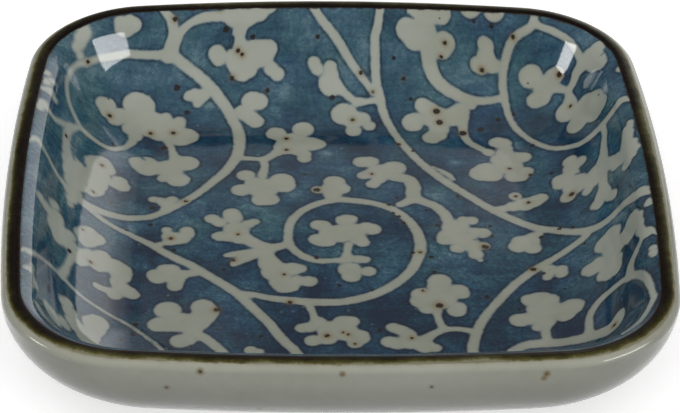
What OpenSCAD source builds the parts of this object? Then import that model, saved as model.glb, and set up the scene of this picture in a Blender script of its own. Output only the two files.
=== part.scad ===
// Square sauce dish: a pressed stoneware shell with bowed sides and round
// corners, standing on a bare foot ring, painted inside, glazed inside and
// out, with an iron-brown band on the lip. Millimetres. The origin is the
// middle of the outline on the resting face, +Z up, +X and +Y across the flats.

/* [Plan] */
// width across the flats, outermost
dish_w = 96; // [80:1:115]
// corner radius of the outermost outline
corner_r = 17.9; // [15:0.1:22]
// radius of the slow outward bow of each side
side_r = 342; // [240:1:600]
// how much fuller than a plain offset the corners get below the lip
corner_gain = 3.1; // [0:0.1:5]
// how soon the corner radius stops shrinking towards the middle
corner_hold = 16; // [10:0.5:24]
// how much further out the middle of the back side stands than the other sides
back_full = 1.2; // [0:0.1:2]
// how much of that is gone at the ends of the back side
back_ease = 0.62; // [0:0.01:1]

/* [Section] */
// height from the resting face to the crest of the lip
dish_h = 18.5; // [16:0.1:24]
// height of the underside over the resting face
under_z = 2; // [1.4:0.1:3]
// depth of the well, crest to floor
well_depth = 13; // [9:0.1:13.4]
// thickness of the rounded lip
lip_t = 3.5; // [2.6:0.1:4.2]
// how far the lip's round rises from its widest point to its crest
lip_rise = 1.2; // [0.9:0.05:1.6]
// depth below the crest at which the outer wall starts to turn in
shoulder = 2.06; // [1.85:0.01:3]
// how far the outer wall turns in, lip to foot
wall_in = 20.4; // [18:0.1:22]
// radius of the lip's roll into the well
roll_r = 3.6; // [2.6:0.1:4.2]
// steepest slope of the inner wall, in degrees
wall_tilt = 62; // [56:1:68]
// radius of the cove between the inner wall and the flat floor
cove_r = 15; // [12:0.1:16]

/* [Coats] */
// thickness of the glaze
glaze_t = 0.4; // [0.25:0.01:0.5]
// thickness of the painted layer under the inner glaze
paint_t = 0.14; // [0.1:0.01:0.2]
// where the lip band ends inside, in degrees down the roll
band_in = 15; // [8:1:25]
// where the lip band ends outside, in degrees round the lip
band_out = 120; // [110:1:150]

/* [Foot] */
// outer width of the foot ring
foot_w = 54.4; // [48:0.1:55]
// width of the ring's strip
foot_t = 4; // [3:0.1:6]
// outer corner radius of the foot ring
foot_r = 13; // [10:0.1:16]
// bare gap between the ring and the glazed panel inside it
foot_gap = 0.4; // [0.2:0.05:1]

/* [Hidden] */

$fn = 96;
side_n = 6;      // steps along a side
corner_n = 10;   // steps round a corner
wall_n = 10;     // steps up a wall
floor_z = dish_h - well_depth;
lip_z = dish_h - lip_rise;
lip_a = lip_t / 2;
wall_b = dish_h - shoulder - under_z;
wall_drop = well_depth - (roll_r + cove_r) * (1 - cos(wall_tilt));
floor_in = lip_a + (roll_r + cove_r) * sin(wall_tilt) + wall_drop / tan(wall_tilt);
body_t = glaze_t + paint_t;

// one closed outline at half width h and corner radius rc: four bowed sides
// and four round corners that run into them
function bow(h) = side_r - h;
function corner_c(h, rc) =
    (sqrt(2 * pow(side_r - rc, 2) - pow(bow(h), 2)) - bow(h)) / 2;
function turned(p, q) =
    q == 0 ? p : q == 1 ? [-p[1], p[0]] : q == 2 ? [-p[0], -p[1]] : [p[1], -p[0]];
function quarter(h, rc) =
    let (c = corner_c(h, rc), f = atan2(c, c + bow(h)))
    concat(
        [for (k = [0 : side_n - 1])
            let (t = f * (2 * k / side_n - 1))
            [-side_r * sin(t), side_r * cos(t) - bow(h)]],
        [for (k = [0 : corner_n - 1])
            let (t = f + (90 - 2 * f) * k / corner_n)
            [-c - rc * sin(t), c + rc * cos(t)]]);
// the back side stands out a little, and the whole is centred again
function stood(x, y) =
    y + back_full * pow(max(0, y) / (dish_w / 2), 6)
        * (1 - back_ease * pow(x / (dish_w / 2), 2)) - back_full / 2;
// a ring from a section point [inset, height, corner radius]
function ring(s) =
    [for (q = [0 : 3]) for (p = quarter(dish_w / 2 - s[0], s[2]))
        let (r = turned(p, q)) [r[0], stood(r[0], r[1]), s[1]]];

// section points at depth t below the finished surface
function shrink(i) = i / (1 + i / corner_hold);
function fuller(d) = corner_gain * (1 - exp(-max(0, d - lip_rise) / 4));
function outer_at(a, t) =
    let (i0 = wall_in * (1 - cos(a)), i = wall_in - (wall_in - t) * cos(a),
         d0 = shoulder + wall_b * sin(a))
    [i, dish_h - shoulder - (wall_b - t) * sin(a),
     corner_r - shrink(i0) + fuller(d0) - (i - i0)];
function lip_at(a, t) =
    let (i0 = lip_a + lip_a * cos(a), i = lip_a + (lip_a - t) * cos(a))
    [i, lip_z + (lip_rise - t) * sin(a), corner_r - shrink(i0) - (i - i0)];
function roll_at(a, t) =
    let (i0 = lip_a + roll_r * sin(a), i = lip_a + (roll_r - t) * sin(a))
    [i, dish_h - roll_r + (roll_r - t) * cos(a), corner_r - shrink(i0) - (i - i0)];
function cove_at(a, t) =
    let (i0 = floor_in - cove_r * sin(a), i = floor_in - (cove_r + t) * sin(a))
    [i, floor_z + cove_r - (cove_r + t) * cos(a), corner_r - shrink(i0) - (i - i0)];

// runs of section points, each given outside to inside
function outer_run(t) = [for (k = [wall_n : -1 : 0]) outer_at(90 * k / wall_n, t)];
function arc_run(a0, a1, n, t) = [for (k = [0 : n]) lip_at(a0 + (a1 - a0) * k / n, t)];
function lip_out(t) = arc_run(180, band_out, 3, t);
function lip_top(t) = concat(arc_run(band_out, 90, 2, t),
                             [for (k = [1 : 2]) roll_at(band_in * k / 2, t)]);
function lip_in(t) = [for (k = [0 : 4]) roll_at(band_in + (wall_tilt - band_in) * k / 4, t)];
function inner_run(t) = [for (k = [wall_n : -1 : 0]) cove_at(wall_tilt * k / wall_n, t)];
function tail(v) = [for (k = [1 : len(v) - 1]) v[k]];
function back(v) = [for (k = [len(v) - 1 : -1 : 0]) v[k]];

// a solid skinned over rings: capped at both ends, or closed into a loop
module skinned(section, loop) {
    n = 4 * (side_n + corner_n);
    m = len(section);
    polyhedron(
        points = [for (s = section) each ring(s)],
        faces = concat(
            [for (j = [0 : loop ? m - 1 : m - 2]) for (k = [0 : n - 1])
                let (a = j * n, b = ((j + 1) % m) * n, l = (k + 1) % n)
                each [[a + k, b + k, b + l], [a + k, b + l, a + l]]],
            loop ? [] : [[for (k = [0 : n - 1]) k],
                         [for (k = [n - 1 : -1 : 0]) (m - 1) * n + k]]));
}

module rounded_square(w, r) {
    square([w, w - 2 * r], center = true);
    square([w - 2 * r, w], center = true);
    for (x = [-1, 1], y = [-1, 1])
        translate([x * (w / 2 - r), y * (w / 2 - r)]) circle(r);
}

// pressed clay shell: wall, lip and floor under the coats
module clay_body()
    color([0.60, 0.54, 0.46])
        skinned(concat(outer_run(glaze_t), lip_out(glaze_t), tail(lip_top(glaze_t)),
                       lip_in(body_t), inner_run(body_t)), false);

// bare strip that the dish stands on
module foot_ring()
    color([0.52, 0.43, 0.34])
        translate([0, -back_full / 2, 0]) linear_extrude(under_z + glaze_t) difference() {
            rounded_square(foot_w, foot_r);
            rounded_square(foot_w - 2 * foot_t, foot_r - foot_t);
        }

// blue painting on the clay, floor and walls up to the lip band
module cobalt_painting()
    color([0.20, 0.31, 0.44])
        skinned(concat(back(concat(lip_in(body_t), inner_run(body_t))),
                       lip_in(glaze_t), inner_run(glaze_t)), false);

// clear coat over the painting
module inner_glaze()
    color([0.42, 0.50, 0.55])
        skinned(concat(back(concat(lip_in(glaze_t), inner_run(glaze_t))),
                       lip_in(0), inner_run(0)), false);

// iron-brown band over the crest of the lip
module rim_band()
    color([0.20, 0.14, 0.08])
        skinned(concat(lip_top(0), back(lip_top(glaze_t))), true);

// pale coat on the outside, lip band to foot
module outer_glaze()
    color([0.68, 0.68, 0.62])
        skinned(concat(outer_run(0), lip_out(0), back(lip_out(glaze_t)),
                       back(outer_run(glaze_t))), true);

// pale coat on the underside, inside the foot ring
module base_glaze()
    color([0.66, 0.66, 0.60])
        translate([0, -back_full / 2, under_z])
            linear_extrude(glaze_t)
                rounded_square(foot_w - 2 * foot_t - 2 * foot_gap,
                               foot_r - foot_t - foot_gap);

clay_body();
foot_ring();
cobalt_painting();
inner_glaze();
rim_band();
outer_glaze();
base_glaze();
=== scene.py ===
import math

import bpy
import numpy as np
from mathutils import Matrix


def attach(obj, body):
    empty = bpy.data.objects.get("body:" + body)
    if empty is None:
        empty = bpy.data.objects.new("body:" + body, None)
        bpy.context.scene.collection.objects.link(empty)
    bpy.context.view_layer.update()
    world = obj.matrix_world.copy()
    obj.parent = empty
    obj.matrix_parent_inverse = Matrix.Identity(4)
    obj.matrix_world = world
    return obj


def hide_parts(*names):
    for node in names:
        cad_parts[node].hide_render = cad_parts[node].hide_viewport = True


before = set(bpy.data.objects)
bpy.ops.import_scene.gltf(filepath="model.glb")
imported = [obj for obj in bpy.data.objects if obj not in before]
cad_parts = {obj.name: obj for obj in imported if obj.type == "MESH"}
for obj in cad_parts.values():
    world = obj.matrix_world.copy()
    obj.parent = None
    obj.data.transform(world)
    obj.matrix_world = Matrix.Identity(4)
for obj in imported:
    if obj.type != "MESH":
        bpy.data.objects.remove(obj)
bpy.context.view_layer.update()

MM = 0.001

# ---------------------------------------------------------------- sections
# The same section and outline functions as the CAD part, in millimetres.
DISH_W, CORNER_R, SIDE_R = 96.0, 17.9, 342.0
CORNER_GAIN, CORNER_HOLD = 3.1, 16.0
DISH_H, UNDER_Z, WELL_DEPTH = 18.5, 2.0, 13.0
LIP_T, LIP_RISE, SHOULDER = 3.5, 1.2, 2.06
WALL_IN, ROLL_R, WALL_TILT, COVE_R = 20.4, 3.6, 62.0, 15.0
BAND_IN, BAND_OUT = 15.0, 120.0
FOOT_W, FOOT_T, FOOT_R, FOOT_GAP = 54.4, 4.0, 13.0, 0.4
BACK_FULL, BACK_EASE = 1.2, 0.62
COAT = 0.38
N = 150                                   # rings of the painted well


def shrink(i):
    return i / (1 + i / CORNER_HOLD)


def fuller(d):
    return CORNER_GAIN * (1 - np.exp(-np.maximum(0, d - LIP_RISE) / 4))


def outer_at(a, t=0.0):
    a = np.radians(a)
    i0 = WALL_IN * (1 - np.cos(a))
    drop = DISH_H - SHOULDER - UNDER_Z
    d0 = SHOULDER + drop * np.sin(a)
    i = WALL_IN - (WALL_IN - t) * np.cos(a)
    return i, DISH_H - SHOULDER - (drop - t) * np.sin(a), CORNER_R - shrink(i0) + fuller(d0) - (i - i0)


def lip_at(a, t=0.0):
    a = np.radians(a)
    r = LIP_T / 2
    i0 = r * (1 + np.cos(a))
    i = r + (r - t) * np.cos(a)
    return i, DISH_H - LIP_RISE + (LIP_RISE - t) * np.sin(a), CORNER_R - shrink(i0) - (i - i0)


TILT = math.radians(WALL_TILT)
WALL_DROP = WELL_DEPTH - (ROLL_R + COVE_R) * (1 - math.cos(TILT))
FLOOR_IN = LIP_T / 2 + (ROLL_R + COVE_R) * math.sin(TILT) + WALL_DROP / math.tan(TILT)


def roll_at(a, t=0.0):
    a = np.radians(a)
    i0 = LIP_T / 2 + ROLL_R * np.sin(a)
    i = LIP_T / 2 + (ROLL_R - t) * np.sin(a)
    return i, DISH_H - ROLL_R + (ROLL_R - t) * np.cos(a), CORNER_R - shrink(i0) - (i - i0)


def cove_at(a, t=0.0):
    a = np.radians(a)
    i0 = FLOOR_IN - COVE_R * np.sin(a)
    i = FLOOR_IN - (COVE_R + t) * np.sin(a)
    return i, DISH_H - WELL_DEPTH + COVE_R - (COVE_R + t) * np.cos(a), CORNER_R - shrink(i0) - (i - i0)


def crest_at(a, t=0.0):
    """Over the crest of the lip: below 90 on the roll into the well, above it on the outer round."""
    return roll_at(90 - a, t) if a < 90 else lip_at(a, t)


def stood(x, y):
    """The back side stands out a little, and the whole is centred again."""
    return y + BACK_FULL * (np.maximum(y, 0) / (DISH_W / 2)) ** 6 * (1 - BACK_EASE * (x / (DISH_W / 2)) ** 2) - BACK_FULL / 2


def outline(i, rc, q, plain=False):
    """Point at q (0 to 4, a quarter each, from corner to corner, by arc length) of the outline at inset i."""
    h = DISH_W / 2 - i
    k = SIDE_R - h
    c = (np.sqrt(2 * (SIDE_R - rc) ** 2 - k * k) - k) / 2
    f = np.arctan2(c, c + k)
    corner, side = rc * (math.pi / 4 - f), 2 * f * SIDE_R
    turn = np.floor(q)
    s = (q - turn) * (2 * corner + side)
    first, last = s < corner, s > corner + side
    p = np.where(first, math.pi / 4 + s / np.maximum(rc, 1e-9), np.where(last, math.pi / 2 + f + (s - corner - side) / np.maximum(rc, 1e-9), math.pi / 2 - f + (s - corner) / SIDE_R))
    x = np.where(first, c + rc * np.cos(p), np.where(last, -c + rc * np.cos(p), SIDE_R * np.cos(p)))
    y = np.where(first | last, c + rc * np.sin(p), SIDE_R * np.sin(p) - k)
    a = turn * math.pi / 2
    x, y = x * np.cos(a) - y * np.sin(a), x * np.sin(a) + y * np.cos(a)
    return (x, y) if plain else (x, stood(x, y))


# the inner section from the floor's edge up to the lip band, with the length along it
_i, _z, _r = cove_at(np.linspace(0, WALL_TILT, 1800))
_li, _lz, _lr = roll_at(np.linspace(WALL_TILT, 4, 900))
SEC_I, SEC_Z = np.concatenate([_i, _li]), np.concatenate([_z, _lz])
SEC_S = np.concatenate([[0], np.cumsum(np.hypot(np.diff(SEC_I), np.diff(SEC_Z)))])
FLAT = DISH_W / 2 - SEC_I[0]
FLOOR_Z = DISH_H - WELL_DEPTH
EDGE_S = float(np.interp(-roll_at(BAND_IN)[0], -SEC_I, SEC_S))
REACH = FLAT + EDGE_S                     # half size of the unrolled painting at the middle of a side
RC_FLAT = CORNER_R - shrink(SEC_I[0])


def well_at(size, q):
    """A point of the well whose ring has the half size given, when the well is laid flat."""
    s = np.maximum(size - FLAT, 0)
    i = np.where(size > FLAT, np.interp(s, SEC_S, SEC_I), DISH_W / 2 - size)
    z = np.where(size > FLAT, np.interp(s, SEC_S, SEC_Z), FLOOR_Z)
    rc = np.where(size > FLAT, CORNER_R - shrink(i), RC_FLAT * size / FLAT)
    x, y = outline(i, rc, q, True)
    k = size / np.maximum(DISH_W / 2 - i, 1e-6)
    return np.stack([x, stood(x, y), z], -1), np.stack([x * k, y * k], -1)


# ---------------------------------------------------------------- painting
# Laid-flat millimetres: u to the right, v to the back. A vine is a run of (u, v, half width).
VINES = [
    # the spiral in the middle
    [(-13.8, -13.8, .9), (-12, -13.8, .65), (-10, -14.5, .65), (-7, -15.05, .75), (-4, -15.5, .85), (0, -15.5, .78), (2.2, -15, .8), (4.8, -13.9, .8), (7.2, -12.2, .78), (9.2, -10.1, .75), (10.7, -7.9, .78), (11.8, -5.2, .8), (12.4, -2.6, .85), (12.5, -0, .82), (12.1, 2.4, .78), (11.3, 4.7, .72), (10.1, 6.7, .68), (8.6, 8.3, .65), (7, 9.3, .62), (5, 10.1, .62), (2, 10.65, .7), (.2, 10.75, .7), (-2.6, 9.6, .65), (-5, 7.6, .65), (-6.6, 4.8, .65), (-7, 2, .62), (-6.9, -.9, .65), (-5.7, -3.2, .65), (-4, -4.7, .65), (-2.2, -5.3, .6), (-.5, -5.2, .55), (1.2, -5, .7)],
    # long stem, left to front
    [(-37.78, 4.89, .84), (-35.63, 3.63, .53), (-33.02, 2.31, .43), (-31, 1.37, .47), (-29, .07, .52), (-27, -1.5, .6), (-25.5, -3, .65), (-23.5, -4.75, .7), (-21.5, -6.25, .72), (-19.75, -8, .75), (-17.75, -10, .75), (-15.75, -12, .78), (-14.3, -13.7, .8), (-12.5, -16.5, .75), (-10, -20.5, .75), (-8, -24.5, .75), (-6.25, -27.25, .75), (-4.6, -31.53, .75), (-4.44, -36.31, .76), (-6.49, -42.26, .81), (-11.09, -48.06, .74), (-15.04, -49.65, .41), (-15.88, -29.82, .7)],
    # long stem, back to right
    [(8.93, 51.55, .64), (8.29, 48.17, .68), (7.59, 46.1, .7), (7.41, 43.43, .71), (7.3, 40.99, .68), (7.39, 38.6, .68), (7.73, 36.72, .7), (8.08, 34.44, .65), (8.58, 32.47, .62), (9.24, 30.6, .6), (10, 28.67, .59), (10.75, 26.72, .6), (11.75, 24.48, .62), (13.2, 21.59, .66), (15.25, 18.3, .7), (17.5, 15.25, .7), (20, 12.4, .68), (22.5, 9.5, .7), (25, 7, .73), (27.5, 5, .75), (29.99, 3.24, .74), (32.71, 1.76, .7), (35.26, -.03, .68), (38.15, -1.78, .75), (40.88, -2.62, .76), (44.09, -3.11, .75), (46.44, -4.07, .78), (48.32, -5.39, 1), (49.41, -5.59, 1.23), (51.11, -6.56, .79)],
    [(15.4, 19.89, .15), (16.4, 18.9, .32), (17.6, 17.7, .5), (18.4, 16.3, .22)],
    [(-3.6, 51.54, .69), (-1.73, 48.82, .69), (-.03, 47.04, .7), (1.47, 45.14, .7), (2.98, 42.7, .65), (4.48, 40.51, .58), (5.73, 38.83, .54), (6.88, 37.37, .59)],
    # big loop on the left
    [(-41.79, 38.21, .69), (-39.82, 39.8, .64), (-37.45, 41.14, .65), (-34.37, 42.27, .65), (-32.33, 42.49, .65), (-30.29, 42.59, .65), (-28.27, 42.74, .74), (-26.51, 42.49, .84), (-24.73, 41.5, .78), (-22.7, 40.28, .78), (-20.91, 39.07, .82), (-19.22, 37.64, .87), (-17.83, 36.01, .87), (-16.55, 34.19, .86), (-15.52, 32.01, .83), (-14.75, 29.96, .87), (-14.45, 27.71, .9), (-14.45, 25.23, .88), (-14.8, 22.74, .86), (-15.6, 20.49, .82), (-16.6, 18.25, .78), (-18.1, 16, .72), (-19.25, 14.25, .68), (-20.75, 12.25, .65), (-22.25, 10.5, .65), (-24, 8.75, .65), (-25.75, 7.25, .66), (-27.5, 6.1, .66), (-29.5, 5.61, .65), (-31.5, 5.22, .66), (-33.54, 5.16, .7), (-35.63, 5.08, .75), (-37.78, 5.09, .86), (-39.78, 5.26, .88)],
    [(-41.79, 38.21, .69), (-43.37, 36.97, .57), (-44.34, 34.92, .51), (-44.83, 32.45, .5), (-44.61, 29.91, .56), (-43.88, 27.7, .6), (-42.71, 26.14, .56), (-41.53, 24.94, .53), (-40.36, 23.75, .55), (-38.95, 23.12, .57), (-37.29, 22.7, .53), (-35.67, 22.31, .47), (-34.08, 22.51, .42), (-32.79, 23.33, .45), (-31.77, 24.39, .5), (-31.11, 25.7, .65)],
    [(-27.26, 42.78, 1.31), (-27.22, 44.45, 1.16), (-27.38, 45.79, .93), (-27.83, 46.99, .8), (-28.36, 48.15, .8), (-29.48, 49.45, .68), (-30.52, 51, .68)],
    [(-27.11, 44.64, 1.02), (-26.17, 46.54, .76), (-24.94, 47.71, .62), (-23.2, 48.61, .76), (-21.46, 48.96, .82), (-19.5, 49.1, .82), (-17.54, 49.5, 1.01)],
    [(-15.61, 49.07, 1.45), (-15.96, 47.27, 1.18), (-16.1, 45.87, 1.11), (-15.76, 44.42, 1.31)],
    [(-14.6, 22.09, .6), (-13, 21.99, .5), (-11.5, 21.89, .5), (-10.2, 21.99, .6)],
    [(-10.8, 21.79, .55), (-10.5, 19.79, .58), (-10.9, 17.2, .7)],
    # right front stem
    [(37.72, -1.95, .85), (37.08, -2.77, .74), (34.79, -3.72, .64), (32.26, -5.13, .64), (30.08, -6.49, .66), (28, -8.5, .65), (25.9, -11, .68), (24.1, -13.7, .68), (22.3, -16.6, .66), (20.8, -19.4, .68), (19.7, -22.3, .72), (19, -25.1, .75), (18.8, -27.2, .78), (19.44, -32.06, .78), (21.94, -38.09, .76), (26.89, -44.63, .78), (31.28, -48.16, .48), (33.04, -29.47, .39)],
    # loop at the back on the right
    [(36.28, 50.06, .58), (35.97, 47.84, .69), (35.11, 46.85, .71), (32.9, 45.97, .64), (31.34, 44.94, .64), (29.94, 43.24, .65), (28.67, 41.02, .65), (28.02, 39.08, .6), (27.78, 37.14, .61), (27.79, 35.22, .55), (28, 32.88, .48), (28.38, 31.26, .49), (28.97, 29.63, .49), (29.97, 27.94, .46), (31.22, 26.15, .45), (32.72, 24.45, .45), (34.51, 22.78, .47), (36.59, 21.66, .51), (38.73, 20.81, .58), (40.93, 20.64, .67), (43.19, 20.73, .75), (45.4, 20.92, .76), (47.45, 21.28, .76), (48.5, 21.83, .73), (49.07, 22.2, .76), (51.03, 21.48, .79)],
    [(36.02, 47.52, .69), (36.99, 46.82, .56), (38.63, 45.84, .59), (40.29, 44.54, .59), (41.64, 43.01, .6), (42.42, 41.13, .67), (42.75, 39.32, .8)],
    [(16.58, 43.45, 1.31), (16.37, 42.08, 1.16), (16.56, 40.71, 1.11), (17.45, 38.88, 1.04), (19.33, 37.27, .97), (21.52, 36.05, .9), (23.52, 35.63, .69), (25.53, 35.67, .58), (27.65, 35.99, .57)],
    [(20.28, 33.51, 1.6), (20.57, 31.51, .9), (20.63, 29.71, .66), (20.9, 27.94, .63), (21.8, 26.17, .62), (23.1, 24.98, .62), (24.3, 24.08, .75)],
    [(43.99, 20.46, .68), (44.1, 18.44, .65), (43.51, 16.05, .73), (43.04, 13.89, .98), (42.47, 12.43, 1.36)],
    [(9.5, 17, 1.1), (11.4, 16.3, 1.1), (12.1, 14.5, 1.1), (12, 12.6, 1.1), (12, 11.25, 1.05), (11, 10.2, .8), (10, 9.5, .7)],
    [(12.2, 11.2, 1), (13.5, 10.25, .85), (15.25, 9, .85), (16.5, 7, .85), (16.9, 5.25, .9)],
    [(-.2, 12, 1), (-.2, 10.8, .7)],
    [(1.9, -1, .6), (1.7, -2.4, .55), (1.5, -4.2, .6)],
    [(-14, 1, 1.2), (-11.75, -1, 1.1), (-10, -1.9, 1.1), (-8.3, -1.6, .8), (-7.1, -.8, .65)],
    [(-10.5, -2.4, 1), (-11.5, -2.9, .9), (-13.4, -3.3, .8), (-15.2, -3.7, .7), (-16.2, -3.9, .4)],
    [(-11.5, -3.2, 1), (-13, -4.2, 1.05), (-14.2, -5.2, .85), (-15, -6.1, .6)],
    [(-10, -2.2, 1), (-10.25, -4, 1.2), (-9.8, -6, 1.6)],
    [(-4.3, -16, .55), (-3.75, -17.75, .5), (-3.4, -19.25, .6), (-3, -20.5, 1)],
    [(12, -24.6, 1), (13.25, -23.25, .7), (15, -22, .6)],
    [(14.2, -17.5, .7), (14.2, -19, .5), (14.6, -21, .55), (15.3, -21.9, .58), (17.3, -21.95, .52), (19.5, -22.6, .55)],
    [(47.79, -14.65, .94), (48.28, -16.27, .87), (48.95, -17.17, 1.25), (49.41, -17.08, .75), (51.02, -18.45, .74)],
    [(48.33, -17.39, .39), (46.8, -18.51, .78), (45.25, -19.31, .97), (44.35, -20.55, 1.09), (44.25, -22.01, .97)],
    [(44.26, -22.12, .63), (42.11, -20.5, .55), (39.95, -19.87, .64), (37.98, -20.12, .72), (36.59, -21.26, .68), (35.86, -22.85, .63), (35.65, -24.74, .66), (35.45, -26.37, .87)],
    [(44.14, -22.06, .66), (45.72, -24.39, .59), (46.9, -26.78, .65), (47.51, -28.71, .64), (47.83, -30.39, .6), (48.01, -32.02, .51), (48.07, -34.07, .5), (47.98, -35.58, .47), (45.25, -41.14, .44), (41.5, -45.09, .41)],
    [(24.3, -27.25, .74), (25.99, -25.95, .85), (27.98, -25.61, 1), (30.96, -26.04, .95), (34, -26.71, 1.1), (36.62, -27.82, 1.11), (38.8, -28.81, 1.33), (40.24, -28.67, 1.52), (40.69, -28.14, 1.37)],
    [(29.48, -21.18, .8), (29.38, -22.72, .64), (29.37, -25.2, .69)],
    # left wall
    [(-40.65, 23.22, .56), (-42.15, 21.69, .73), (-44.76, 19.98, .66), (-46.56, 18.96, .67), (-48.03, 19.27, .6), (-48.95, 20.05, .67), (-49.42, 20.36, .97), (-49.71, 18.54, .69)],
    [(-42.15, 21.69, .85), (-42.96, 19.21, .96), (-42.95, 17.18, 1), (-42.35, 15.35, 1.41)],
    [(-51.12, 8.04, .5), (-49.95, 9.15, .7), (-49.52, 9.14, .6), (-48.97, 8.58, .43), (-47.88, 7.8, .52), (-46.71, 7.36, .5), (-45.36, 6.63, .52), (-43.84, 6.19, .53), (-41.74, 5.79, .6)],
    [(-50.03, -23.31, .53), (-49.27, -22.64, .28), (-49.08, -22.86, .54), (-48.66, -22.91, .74), (-48.01, -22.32, .6), (-46.71, -21.1, .34), (-45.01, -19.65, .3), (-42.78, -18.11, .36), (-40.67, -17.67, .46), (-38.66, -18.05, .42), (-36.74, -18.57, .34), (-34.6, -19.09, .3), (-32.52, -19.96, .27), (-30.5, -20.91, .26), (-28.75, -22.36, .26), (-27, -24.29, .27), (-25.25, -26.55, .3), (-23.82, -30.02, .55), (-23.66, -34.73, .65), (-25.59, -39.92, .71), (-30.05, -45.33, .76), (-34.27, -47.77, .48), (-36.69, -47.95, .45)],
    [(-41.14, -17.43, .9), (-40.41, -15.19, .72), (-39.94, -12.9, .63), (-39.47, -10.64, .73)],
    [(-20.6, -22.6, 1.2), (-20.2, -23.3, 1), (-18.7, -24.5, .8), (-17.2, -26.4, .75), (-16, -28.3, .7), (-15.41, -31.02, .65), (-15.87, -34.16, .6)],
    # front wall, behind the front lip
    [(-4.52, -34.14, .72), (-1.01, -38.57, .71), (3.08, -41.22, .8), (7.68, -40.99, .8), (11.15, -38.02, .67), (12.35, -34.15, .6), (11.21, -31.02, .58), (8.6, -29.8, .6)],
    [(-23.69, -33.12, .63), (-20.31, -38.07, .68), (-16.38, -40.43, .74), (-12.19, -38.6, .65), (-10.27, -35.22, .61)],
    [(21.24, -36.71, .68), (24.7, -35.29, .67), (28.65, -32.68, .65), (31.15, -30.14, .64)],
    [(-6.49, -42.26, .72), (-2.11, -46.97, .69), (1.58, -48.5, .47)],
    [(21.94, -38.09, .68), (17.71, -43.74, .78), (13.74, -47.56, .64)],
    [(-30.05, -45.33, .76), (-34.57, -42.95, .85), (-38.62, -39.67, .88), (-42.03, -37.82, .79)],
    # short stems
    [(3.97, 35.43, .64), (5.98, 35.8, .46), (7.78, 36.07, .64)],
    [(.26, 38.79, 1.26), (1.97, 37.37, .67), (3.57, 36.07, .56), (4.97, 35.89, .46)],
    [(-7.2, 24.98, 1.2), (-8.9, 23.38, .8), (-10.2, 21.99, .6)],
    [(36.24, 36.06, .99), (38.04, 34.87, .6), (38.6, 34.05, .62), (38.58, 32.3, .95)],
    [(38.61, 34.25, .65), (39.88, 35.22, .65), (41.2, 36.68, .88), (42.89, 37.7, 1.21)],
    [(-25.6, 26.68, .71), (-25, 24.78, .5), (-24.4, 22.19, .8)],
    [(-34.9, -13.89, .67), (-33.86, -14.07, .65), (-32.41, -14.05, .84)],
    [(41.55, 4.66, 1.4), (41.78, 6.63, .93), (42.12, 9.38, 1.06)],
]

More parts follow.
